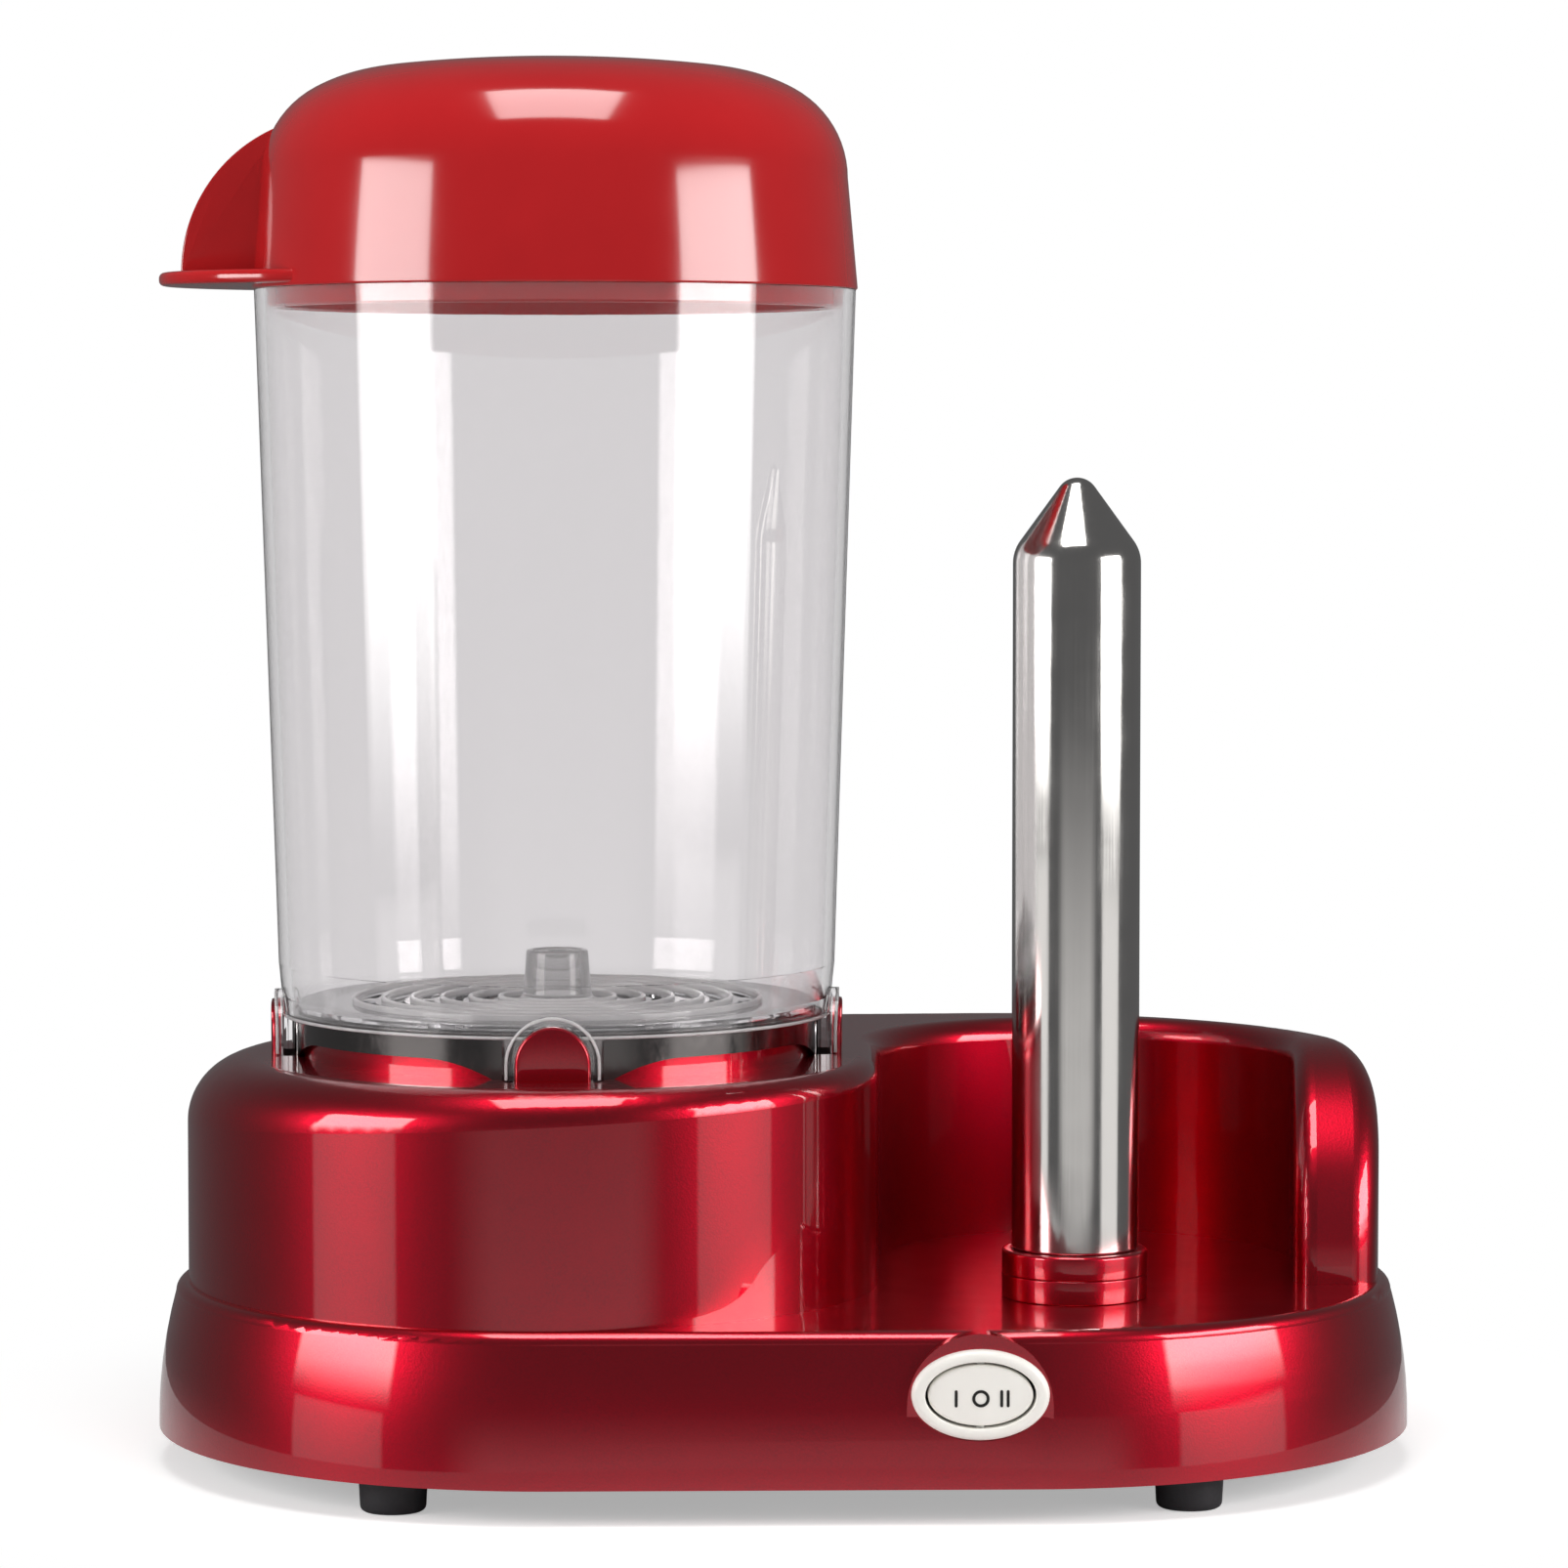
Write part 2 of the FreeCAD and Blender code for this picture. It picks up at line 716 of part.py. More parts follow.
def housing_block(name):
    """The housing's outside: the nest is cut out, and the arm falls forward to the deck."""
    low = S.deck_level
    height = S.housing_top - low
    solid = stadium(name + "_block", S.housing_radius, low, height)
    nest = doc.addObject("Part::Feature", name + "_nest")
    nest.Shape = nest_face().extrude(FreeCAD.Vector(0, 0, float(height) * 2))
    place(nest, 0, 0, low - height / 2)
    length = S.housing_radius
    room = box(name + "_fall_room", length, S.arm_fall_back + S.housing_radius, height * 2,
               nest_centre_along, -S.housing_radius, low - height / 2)
    fall_round = cylinder(name + "_fall_round", S.arm_fall, length, nest_centre_along,
                          S.arm_fall_back, arm_fall_level, FACING_RIGHT)
    fall_foot = box(name + "_fall_foot", length, S.arm_fall, arm_fall_level - low + height,
                    nest_centre_along, arm_front, low - height)
    return cut(name, solid, [nest, cut(name + "_fall", room, [fall_round, fall_foot])])


def housing_edge_radii():
    """Rounding of the housing's upper edges, which grows from the rims to the shoulders.

    A radius belongs to a place on the edge, so it runs evenly between two places.
    """
    top = float(S.housing_top)
    arm_start = float(nest_centre_along + S.nest_radius) - float(S.nest_edge) * 2
    arm_middle = float(S.arc_offset + S.housing_radius - S.nest_arm_width / 2)

    def radius_at(point):
        if abs(point.x - float(drum_x)) < float(S.overlap):
            return float(S.drum_shoulder)
        if point.y > float(S.housing_radius) / 2:
            return float(S.nest_shoulder)
        return float(S.arm_outer_edge if point.x > arm_middle else S.nest_edge)

    def chosen(edge):
        bounds = edge.BoundBox
        across = bounds.YLength < 0.001
        falling = bounds.XMin > arm_start and bounds.YMax < float(S.arm_fall_back) + 0.001
        if falling and across and (bounds.ZLength < 0.001
                                   or bounds.YMin > float(arm_front) + 0.001):
            return None
        if not falling and bounds.ZMin < top - 0.001:
            return None
        if bounds.ZMax < float(S.deck_level) + 0.001:
            return None
        ends = [edge.valueAt(edge.FirstParameter), edge.valueAt(edge.LastParameter)]
        if edge.Orientation == "Forward":
            ends.reverse()
        return tuple(radius_at(point) for point in ends)

    return chosen


def underside_of(base, level):
    """Name of the face that closes a solid at this level."""
    for number, face in enumerate(base.Shape.Faces, start=1):
        if abs(face.BoundBox.ZMax - float(level)) < 0.001:
            return "Face%d" % number
    raise RuntimeError("no face at the foot of %s" % base.Name)


housing_plain = housing_block("housing_plain")
housing_outside = rounded("housing_outside", housing_plain, housing_edge_radii())
doc.recompute()
housing_shell = doc.addObject("Part::Thickness", "housing_shell")
housing_shell.Faces = (housing_outside, [underside_of(housing_outside, S.deck_level)])
bind(housing_shell, "Value", -S.shell_wall)
housing_shell.Join = "Arc"

pan_floor = S.pan_rim_level - S.pan_depth
bracket_top = pan_floor - S.heater_thickness
bracket_low = bracket_top - S.bracket_thickness
tongue_top = S.housing_top + S.tongue_height


def cross_bars(name, half_width, low, top, reach, rounded_top):
    """Two bars through the drum's axis, along X and along Y, arched at the top if asked."""
    bars = []
    straight_top = top - half_width if rounded_top else top
    for label, turn in (("x", FACING_RIGHT), ("y", FACING_BACK)):
        length, width = (reach * 2, half_width * 2)
        if label == "y":
            length, width = width, length
        bars.append(block("%s_%s" % (name, label), length, width, straight_top - low,
                          drum_x, 0, low))
        if rounded_top:
            x = drum_x - reach if label == "x" else drum_x
            y = 0 if label == "x" else -reach
            bars.append(cylinder("%s_%s_arch" % (name, label), half_width, reach * 2,
                                 x, y, straight_top, turn))
    return fuse(name, bars)


tongue_outer = S.tongue_inner_radius + S.tongue_thickness
tongue_root = S.housing_top - S.overlap
tongue_wall = tube("tongue_wall", tongue_outer, S.tongue_inner_radius,
                   tongue_top - tongue_root, drum_x, 0, tongue_root)
tongue_bars = cross_bars("tongue_bars", S.tongue_width / 2, tongue_root, tongue_top,
                         S.housing_radius, True)
tongues = common("tongues", tongue_wall, tongue_bars)
housing_bosses = [
    cylinder("housing_boss_%d" % number, S.housing_boss_radius,
             housing_ceiling - S.deck_level + S.overlap, x, y, S.deck_level)
    for number, (x, y) in enumerate(BOSS_PLACES)
]
bracket_bosses = [
    cylinder("bracket_boss_%s" % label, S.bracket_boss_radius,
             housing_ceiling - bracket_top + S.overlap, drum_x, y, bracket_top)
    for label, y in (("front", -bracket_reach), ("back", bracket_reach))
]
boss_stack = fuse("boss_stack", housing_bosses + bracket_bosses)
bosses_inside = common("bosses_inside", boss_stack, housing_outside)
housing_body = fuse("housing_body", [housing_shell, bosses_inside, tongues])
housing_well = cylinder("housing_well", S.well_radius, S.shell_wall * 3, drum_x, 0,
                        housing_ceiling - S.shell_wall)
boss_screw_holes = [
    cylinder("boss_screw_hole_%d" % number, S.screw_radius, S.screw_length, x, y,
             S.deck_level - S.overlap)
    for number, (x, y) in enumerate(BOSS_PLACES)
]
bracket_screw_holes = [
    cylinder("bracket_screw_hole_%s" % label, S.screw_radius, S.screw_length, drum_x, y,
             bracket_top - S.overlap)
    for label, y in (("front", -bracket_reach), ("back", bracket_reach))
]
node(cut("upper_housing", housing_body,
         [housing_well] + boss_screw_holes + bracket_screw_holes), "upper_housing")


# ---------------------------------------------------------------- the pan and its heater

seat_spigot_radius = S.well_radius - S.fit_gap
seat_inner = seat_spigot_radius - S.seat_wall
seat_top = S.housing_top + S.seat_height
seat_flange = tube("seat_flange", S.seat_radius, seat_inner, S.seat_height, drum_x, 0,
                   S.housing_top)
seat_spigot = tube("seat_spigot", seat_spigot_radius, seat_inner, S.seat_drop, drum_x, 0,
                   S.housing_top - S.seat_drop)
node(fuse("seat_ring", [seat_flange, seat_spigot]), "seat_ring")

flange_underside = S.pan_rim_level - S.pan_wall
skirt_inner = S.pan_skirt_radius - S.pan_wall
node(tube("pan_gasket", S.seat_radius - S.gasket_edge, S.pan_radius + S.gasket_edge,
          flange_underside - seat_top, drum_x, 0, seat_top), "pan_gasket")

pan_bowl = turned("pan_bowl", [
    (0, pan_floor),
    (S.pan_radius - S.pan_corner, pan_floor),
    (S.pan_radius, pan_floor + S.pan_corner, S.pan_corner, "left"),
    (S.pan_radius, flange_underside),
    (S.pan_skirt_radius, flange_underside),
    (S.pan_skirt_radius, S.pan_rim_level),
    (S.pan_radius - S.pan_wall, S.pan_rim_level),
    (S.pan_radius - S.pan_wall, pan_floor + S.pan_corner),
    (S.pan_radius - S.pan_corner, pan_floor + S.pan_wall, S.pan_corner - S.pan_wall, "right"),
    (0, pan_floor + S.pan_wall),
], drum_x, 0)
pan_skirt_wall = tube("pan_skirt_wall", S.pan_skirt_radius, skirt_inner,
                      flange_underside - S.housing_top, drum_x, 0, S.housing_top)
arch_level = S.housing_top + S.pan_arch_height
arch_tools = []
for arch_turn in (45, 135):
    turn = FreeCAD.Rotation(Z_AXIS, arch_turn)
    across = turn.multVec(Y_AXIS)
    along = turn.multVec(X_AXIS)
    run = S.pan_skirt_radius * 1.2
    half = S.pan_arch_half_width
    arch_tools.append(box("pan_arch_%d" % arch_turn, run * 2, half * 2, S.pan_arch_curve,
                          drum_x - run * along.x - half * across.x,
                          -run * along.y - half * across.y,
                          arch_level - S.pan_arch_curve, turn))
    for side in (-1, 1):
        lie = turn.multiply(FACING_RIGHT)
        arch_tools.append(cylinder("pan_arch_%d_%d" % (arch_turn, side + 1), S.pan_arch_curve,
                                   run * 2,
                                   drum_x - run * along.x + side * half * across.x,
                                   -run * along.y + side * half * across.y,
                                   arch_level - S.pan_arch_curve, lie))
node(cut("pan_skirt", pan_skirt_wall, arch_tools), "pan_skirt")
pan_stud = cylinder("pan_stud", S.stud_radius, S.stud_length + S.overlap, drum_x, 0,
                    pan_floor - S.stud_length)
node(fuse("water_pan", [pan_bowl, pan_stud]), "water_pan")

heater_disc = tube("heater_disc", S.heater_radius, S.stud_radius + S.hole_gap,
                   S.heater_thickness, drum_x, 0, bracket_top)
heater_ends = [
    cylinder("heater_end_%d" % number, S.heater_end_radius, S.heater_end_length + S.overlap,
             drum_x - S.heater_end_along - S.heater_end_pitch * number, 0,
             bracket_top - S.heater_end_length)
    for number in range(2)
]
node(fuse("pan_heater", [heater_disc] + heater_ends), "pan_heater")

bracket_bar = block("bracket_bar", S.bracket_width,
                    bracket_reach * 2 + S.bracket_boss_radius * 2, S.bracket_thickness,
                    drum_x, 0, bracket_low)
bracket_holes = [
    cylinder("bracket_hole_%d" % number, radius, S.bracket_thickness * 3, drum_x, y,
             bracket_low - S.bracket_thickness)
    for number, (radius, y) in enumerate((
        (S.stud_radius + S.hole_gap, 0.0),
        (S.screw_radius, -bracket_reach),
        (S.screw_radius, bracket_reach),
    ))
]
node(cut("heater_bracket", bracket_bar, bracket_holes), "heater_bracket")


def hex_nut(name, across_corners, hole, height, x, y, z):
    body = doc.addObject("Part::Prism", name + "_body")
    body.Polygon = 6
    bind(body, "Circumradius", across_corners)
    bind(body, "Height", height)
    place(body, x, y, z)
    return cut(name, body, [cylinder(name + "_hole", hole, height, x, y, z)])


def screw(name, x, y, seat, length):
    """A pan-head screw with its head under the seat and its shank up from there."""
    head = cylinder(name + "_head", S.screw_head_radius, S.screw_head_height, x, y,
                    seat - S.screw_head_height)
    shank = cylinder(name + "_shank", S.screw_radius, length, x, y, seat)
    return fuse(name, [head, shank])


node(hex_nut("pan_nut", S.nut_size, S.stud_radius + S.fit_gap, S.nut_height, drum_x, 0,
             bracket_low - S.nut_height), "pan_nut")
node(group("bracket_screws", [
    screw("bracket_screw_%s" % label, drum_x, y, bracket_low,
          S.screw_length - S.bracket_thickness)
    for label, y in (("front", -bracket_reach), ("back", bracket_reach))
]), "bracket_screws")

thermostat_can = cylinder("thermostat_can", S.thermostat_radius, S.thermostat_height,
                          drum_x + S.thermostat_along, 0, bracket_top - S.thermostat_height)
thermostat_blades = [
    block("thermostat_blade_%d" % number, S.blade_thickness, S.blade_width, S.blade_length,
          drum_x + S.thermostat_along + x, 0,
          bracket_top - S.thermostat_height - S.blade_length + S.overlap)
    for number, x in enumerate((-S.thermostat_blade_along, S.thermostat_blade_along))
]
node(fuse("thermostat", [thermostat_can] + thermostat_blades), "thermostat")
node(cylinder("thermal_fuse", S.fuse_radius, S.fuse_length,
              drum_x - S.bracket_width / 2 - S.fuse_radius - S.fuse_gap, -S.fuse_length / 2,
              bracket_top - S.fuse_radius, FACING_BACK), "thermal_fuse")

# ---------------------------------------------------------------- container

foot_inner = S.container_foot_radius - S.container_wall
container_wall = turned("container_wall", [
    (foot_inner, S.container_foot_level),
    (S.container_foot_radius, S.container_foot_level),
    (S.container_foot_radius, S.container_straight_level),
    (S.container_step_radius, S.container_step_level),
    (S.container_top_radius, S.container_top),
    (S.container_top_radius - S.container_wall, S.container_top),
    (S.container_step_radius - S.container_wall, S.container_step_level),
    (foot_inner, S.container_straight_level),
], drum_x, 0)
tab_ring = tube("tab_ring", S.container_foot_radius, foot_inner,
                S.container_foot_level - S.housing_top + S.overlap, drum_x, 0, S.housing_top)
tab_bars = cross_bars("tab_bars", S.tab_width / 2, S.housing_top,
                      S.container_foot_level + S.overlap, S.housing_radius, False)
tabs = common("tabs", tab_ring, tab_bars)
rib_room = S.tongue_width / 2 + S.rib_gap
rib_room_top = tongue_top + S.rib_gap
rib_top = rib_room_top + S.rib_thickness
rib_ring = tube("rib_ring", S.container_foot_radius + S.rib_stand,
                S.container_foot_radius - S.rib_root, rib_top - S.housing_top + S.overlap,
                drum_x, 0, S.housing_top)
rib_outside = cross_bars("rib_outside", rib_room + S.rib_thickness, S.housing_top, rib_top,
                         S.housing_radius, True)
rib_inside = cross_bars("rib_inside", rib_room, S.housing_top - S.overlap, rib_room_top,
                        S.housing_radius + S.overlap, True)
ribs = cut("ribs", common("rib_bands", rib_ring, rib_outside), [rib_inside])
node(fuse("container_shell", [container_wall, tabs, ribs]), "container_shell")

# ---------------------------------------------------------------- steam tray

tray_top = S.pan_rim_level + S.tray_thickness
post_top = tray_top + S.tray_post_height
tray_disc = turned("tray_disc", [
    (0, S.pan_rim_level),
    (S.tray_radius, S.pan_rim_level),
    (S.tray_radius, tray_top),
    (S.tray_post_foot_radius, tray_top),
    (S.tray_post_radius, post_top),
    (S.tray_post_bore, post_top),
    (S.tray_post_bore, tray_top + S.tray_bore_floor),
    (0, tray_top + S.tray_bore_floor),
], drum_x, 0)
SLOT_RINGS = 5
SLOTS_PER_RING = 6
FIRST_BRIDGE_TURN = 30.0
slot_rings = []
for ring in range(SLOT_RINGS):
    radius = S.slot_first_radius + S.slot_pitch * ring
    slot_rings.append(tube("slot_ring_%d" % ring, radius + S.slot_width / 2,
                           radius - S.slot_width / 2, S.tray_thickness * 3, drum_x, 0,
                           S.pan_rim_level - S.tray_thickness))
bridges = [
    block("slot_bridge_%d" % number, S.tray_radius * 2, S.slot_bridge,
          S.tray_thickness * 4, 0, 0, 0)
    for number in range(SLOTS_PER_RING // 2)
]
for number, bridge in enumerate(bridges):
    angle = 180.0 / len(bridges) * number + FIRST_BRIDGE_TURN
    turn = FreeCAD.Rotation(Z_AXIS, angle)
    along = turn.multVec(X_AXIS)
    across = turn.multVec(Y_AXIS)
    place(bridge, drum_x - S.tray_radius * along.x - S.slot_bridge / 2 * across.x,
          -S.tray_radius * along.y - S.slot_bridge / 2 * across.y,
          S.pan_rim_level - S.tray_thickness * 1.5, turn)
slots = cut("slots", fuse("slot_ring_set", slot_rings), bridges)
node(cut("steam_tray", tray_disc, [slots]), "steam_tray")

# ---------------------------------------------------------------- lid

lid_top = S.container_top + S.lid_height
lid_radius = S.container_top_radius + S.lid_overhang
handle_reach = lid_radius + S.handle_overhang
handle_fin_offset = lid_radius - S.handle_fin_inset
crown_half_width = (lid_radius - S.lid_draft - S.lid_corner_arc * (1 - sine(S.lid_corner_slope))
                    - S.lid_curve_arc * (sine(S.lid_corner_slope) - sine(S.lid_crown_slope)))
lid_crown_arc = crown_half_width / sine(S.lid_crown_slope)


def lid_side(inset):
    """The dome's side from the shoulder to the crown, kept an inset inside the outside.

    Three arcs run into each other: the corner, the curve above it and the shallow crown.
    """
    crown = lid_crown_arc - inset
    curve = S.lid_curve_arc - inset
    corner = S.lid_corner_arc - inset
    high = sine(S.lid_crown_slope)
    low = sine(S.lid_corner_slope)
    crown_end = crown * high
    crown_end_level = lid_top - inset - crown * (1 - cosine(S.lid_crown_slope))
    curve_end = crown_end + curve * (low - high)
    curve_end_level = crown_end_level - curve * (
        cosine(S.lid_crown_slope) - cosine(S.lid_corner_slope))
    side = curve_end + corner * (1 - low)
    side_level = curve_end_level - corner * cosine(S.lid_corner_slope)
    return [
        (side, side_level),
        (curve_end, curve_end_level, corner, "left"),
        (crown_end, crown_end_level, curve, "left"),
        (0, lid_top - inset, crown, "left"),
    ]


def backwards(points):
    """The same open outline run the other way."""
    turned_round = []
    for index in range(len(points) - 1, -1, -1):
        x, y = points[index][0], points[index][1]
        after = points[index + 1] if index + 1 < len(points) else (x, y)
        if len(after) == 2:
            turned_round.append((x, y))
        else:
            side = "right" if after[3] == "left" else "left"
            turned_round.append((x, y, after[2], side))
    return turned_round


spigot_outer = S.container_top_radius - S.container_wall - S.spigot_clearance
ledge_level = S.container_top + S.spigot_ledge
lid_section = (
    [
        (spigot_outer, S.container_top),
        (lid_radius, S.container_top),
    ]
    + lid_side(S.lid_wall * 0)
    + backwards(lid_side(S.lid_wall))
    + [
        (lid_radius - S.lid_wall, ledge_level),
        (spigot_outer - S.spigot_wall, ledge_level),
        (spigot_outer - S.spigot_wall, S.container_top - S.spigot_depth),
        (spigot_outer, S.container_top - S.spigot_depth),
    ]
)
lid_dome = turned("lid_dome", lid_section, drum_x, 0)
lid_core = turned("lid_core", [(0, S.container_top - S.overlap),
                               (lid_radius - S.lid_wall / 2, S.container_top - S.overlap)]
                  + lid_side(S.lid_wall / 2), drum_x, 0)
handle_low = S.container_top + S.handle_lift
handle_top = handle_low + S.handle_plate_thickness
handle_plate = cylinder("handle_plate", S.handle_plate_radius, S.handle_plate_thickness,
                        drum_x - handle_reach + S.handle_plate_radius, 0, handle_low)
fin_disc = cylinder("fin_disc", S.handle_fin_radius, S.handle_fin_thickness,
                    drum_x - handle_fin_offset, -S.handle_fin_thickness / 2, handle_top,
                    FACING_BACK)
fin_room = box("fin_room", S.handle_fin_radius * 2, S.handle_fin_thickness * 2,
               S.handle_fin_radius * 2, drum_x - handle_fin_offset - S.handle_fin_radius,
               -S.handle_fin_thickness, handle_top - S.overlap)
fin = common("fin", fin_disc, fin_room)
handle = cut("handle", fuse("handle_form", [handle_plate, fin]), [lid_core])
node(fuse("lid", [lid_dome, handle]), "lid")

# ---------------------------------------------------------------- bun spike

tube_foot = S.deck_level + S.gasket_thickness
collar_top = S.deck_level + S.collar_ring_height * 2
neck_bore = S.spike_neck_radius - S.spike_wall


def spike_side(inset):
    """The tube's side from the shoulder to the tip, kept an inset inside the outside."""
    lean = sine(S.spike_cone_angle)
    stand = cosine(S.spike_cone_angle)
    radius = S.spike_radius - inset
    bend = S.spike_shoulder_arc - inset
    tip = S.spike_tip_arc - inset
    # a round between two straight lines takes this much of each, by half of their turn
    take = S.spike_shoulder_arc * lean / (1 + stand)
    outer_apex = S.spike_shoulder_level + S.spike_radius * stand / lean
    tip_centre = outer_apex - S.spike_tip_arc / lean
    bend_level = S.spike_shoulder_level - take
    bend_centre = S.spike_radius - S.spike_shoulder_arc
    return [
        (radius, bend_level),
        (bend_centre + bend * stand, bend_level + bend * lean, bend, "left"),
        (tip * stand, tip_centre + tip * lean),
        (0, tip_centre + tip, tip, "left"),
    ]


# the tube narrows to a neck inside the collar and stands on the collar's top with its shoulder
node(turned("spike_tube", [
    (neck_bore, tube_foot),
    (S.spike_neck_radius, tube_foot),
    (S.spike_neck_radius, collar_top),
    (S.spike_radius, collar_top),
] + spike_side(S.spike_wall * 0) + backwards(spike_side(S.spike_wall)) + [
    (S.spike_radius - S.spike_wall, collar_top + S.spike_wall),
    (neck_bore, collar_top + S.spike_wall),
], spike_x, spike_y), "spike_tube")
collar_bore = S.spike_neck_radius + S.collar_gap
node(tube("spike_collar", S.collar_radius, collar_bore, S.collar_ring_height,
          spike_x, spike_y, S.deck_level), "spike_collar")
node(turned("spike_ring", [
    (collar_bore, S.deck_level + S.collar_ring_height),
    (S.collar_radius - S.collar_groove, S.deck_level + S.collar_ring_height),
    (S.collar_radius, S.deck_level + S.collar_ring_height + S.collar_groove * 2),
    (S.collar_radius, collar_top - S.collar_groove * 2),
    (S.collar_radius - S.collar_groove * 2, collar_top),
    (collar_bore, collar_top),
], spike_x, spike_y), "spike_ring")
node(tube("spike_gasket", S.spike_neck_radius, S.spike_stud_radius + S.hole_gap, S.gasket_thickness,
          spike_x, spike_y, S.deck_level), "spike_gasket")
stud_low = tube_foot - S.spike_stud_length
plug_disc = cylinder("plug_disc", neck_bore, S.spike_plug_height, spike_x, spike_y,
                     tube_foot)
plug_stud = cylinder("plug_stud", S.spike_stud_radius, S.spike_stud_length + S.overlap,
                     spike_x, spike_y, stud_low)
plug_bore = cylinder("plug_bore", S.lead_bore, S.spike_stud_length + S.spike_plug_height * 2,
                     spike_x, spike_y, stud_low - S.overlap)
node(cut("spike_plug", fuse("plug_form", [plug_disc, plug_stud]), [plug_bore]), "spike_plug")
node(tube("spike_washer", S.washer_radius, S.spike_stud_radius + S.hole_gap, S.washer_thickness,
          spike_x, spike_y, deck_underside - S.washer_thickness), "spike_washer")
node(hex_nut("spike_nut", S.spike_nut_size, S.spike_stud_radius, S.spike_nut_height,
             spike_x, spike_y,
             deck_underside - S.washer_thickness - S.spike_nut_height), "spike_nut")
node(cylinder("spike_heater", S.cartridge_radius, S.cartridge_length, spike_x, spike_y,
              tube_foot + S.spike_plug_height), "spike_heater")

# ---------------------------------------------------------------- switch

bezel_face = pad_face - S.bezel_stand
opening_half_width = S.rocker_half_width + S.rocker_gap
opening_half_height = S.rocker_half_height + S.rocker_gap
rocker_face = bezel_face + S.rocker_recess
pivot_y = rocker_face + S.rocker_pivot_depth
sleeve_back = pad_face + S.sleeve_depth
bezel_flange = oval("bezel_flange", S.bezel_half_width, S.bezel_half_height, S.bezel_stand,
                    S.switch_along, bezel_face, S.switch_level)


def bezel_front_edge(edge):
    if abs(edge.BoundBox.YMax - float(bezel_face)) < 0.001:
        return S.bezel_edge
    return None


bezel_round = rounded("bezel_round", bezel_flange, bezel_front_edge)
bezel_sleeve = oval("bezel_sleeve", sleeve_half_width, sleeve_half_height,
                    S.sleeve_depth + S.overlap, S.switch_along, pad_face - S.overlap,
                    S.switch_level)
bezel_opening = oval("bezel_opening", opening_half_width, opening_half_height,
                     S.bezel_stand + S.sleeve_depth + S.overlap * 2, S.switch_along,
                     bezel_face - S.overlap, S.switch_level)
pin_half = opening_half_height + S.sleeve_wall * 0.8
pin_hole = cylinder("pin_hole", S.rocker_pin_radius, pin_half * 2, S.switch_along, pivot_y,
                    S.switch_level - pin_half)
node(cut("switch_bezel", fuse("bezel_form", [bezel_round, bezel_sleeve]),
         [bezel_opening, pin_hole]), "switch_bezel")
node(cylinder("rocker_pin", S.rocker_pin_radius, pin_half * 2, S.switch_along, pivot_y,
              S.switch_level - pin_half), "rocker_pin")

rocker_plate = oval("rocker_plate", S.rocker_half_width, S.rocker_half_height,
                    S.rocker_thickness, S.switch_along, rocker_face, S.switch_level)
rocker_heel = box("rocker_heel", S.rocker_heel_half * 2, S.rocker_heel_depth + S.overlap,
                  S.rocker_half_height * 1.2, S.switch_along - S.rocker_heel_half,
                  rocker_face + S.rocker_thickness - S.overlap,
                  S.switch_level - S.rocker_half_height * 0.6)
rocker_bore = cylinder("rocker_bore", S.rocker_pin_radius + S.rocker_pin_play,
                       S.rocker_half_height * 3, S.switch_along, pivot_y,
                       S.switch_level - S.rocker_half_height * 1.5)
node(cut("switch_rocker", fuse("rocker_form", [rocker_plate, rocker_heel]), [rocker_bore]),
     "switch_rocker")


def mark_bar(name, along):
    return box(name, S.mark_stroke, S.mark_stand, S.mark_height,
               S.switch_along + along - S.mark_stroke / 2, rocker_face - S.mark_stand,
               S.switch_level - S.mark_height / 2)


mark_ring_outer = cylinder("mark_ring_outer", S.mark_height / 2, S.mark_stand, S.switch_along,
                           rocker_face, S.switch_level, FACING_FRONT)
mark_ring_inner = cylinder("mark_ring_inner", S.mark_height / 2 - S.mark_stroke, S.mark_stand,
                           S.switch_along, rocker_face, S.switch_level, FACING_FRONT)
node(group("switch_marks", [
    mark_bar("mark_one", -S.mark_one_along),
    cut("mark_zero", mark_ring_outer, [mark_ring_inner]),
    mark_bar("mark_two_left", S.mark_two_along - S.mark_two_pitch / 2),
    mark_bar("mark_two_right", S.mark_two_along + S.mark_two_pitch / 2),
]), "switch_marks")

node(box("switch_housing", S.switch_box_half_width * 2, S.switch_box_depth,
         S.switch_box_half_height * 2, S.switch_along - S.switch_box_half_width, sleeve_back,
         S.switch_level - S.switch_box_half_height), "switch_housing")
node(group("switch_blades", [
    box("switch_blade_%d" % number, S.blade_thickness, S.blade_length, S.blade_width,
        S.switch_along + (number - 1) * S.blade_pitch - S.blade_thickness / 2,
        sleeve_back + S.switch_box_depth, S.switch_level - S.blade_width / 2)
    for number in range(3)
]), "switch_blades")

# ---------------------------------------------------------------- base plate, feet, cord inlet

FOOT_NAMES = (("front_left_foot", -1, -1), ("front_right_foot", 1, -1),
              ("back_left_foot", -1, 1), ("back_right_foot", 1, 1))
clamp_y = gland_face - S.clamp_ahead
clamp_screw_along = S.clamp_length / 2 - S.clamp_screw_inset
plate_form = stadium("plate_form", plinth_radius - S.shell_wall - S.wall_draft - S.plate_gap,
                     plate_low, S.plate_thickness)
clamp_posts = [
    cylinder("clamp_post_%d" % number, S.clamp_post_radius, S.clamp_post_height + S.overlap,
             S.gland_along + side * clamp_screw_along, clamp_y, plate_high - S.overlap)
    for number, side in enumerate((-1, 1))
]
plate_holes = [
    cylinder("plate_post_hole_%d" % number, S.screw_radius, S.plate_thickness * 3, x, y,
             plate_low - S.plate_thickness)
    for number, (x, y) in enumerate(post_places())
]
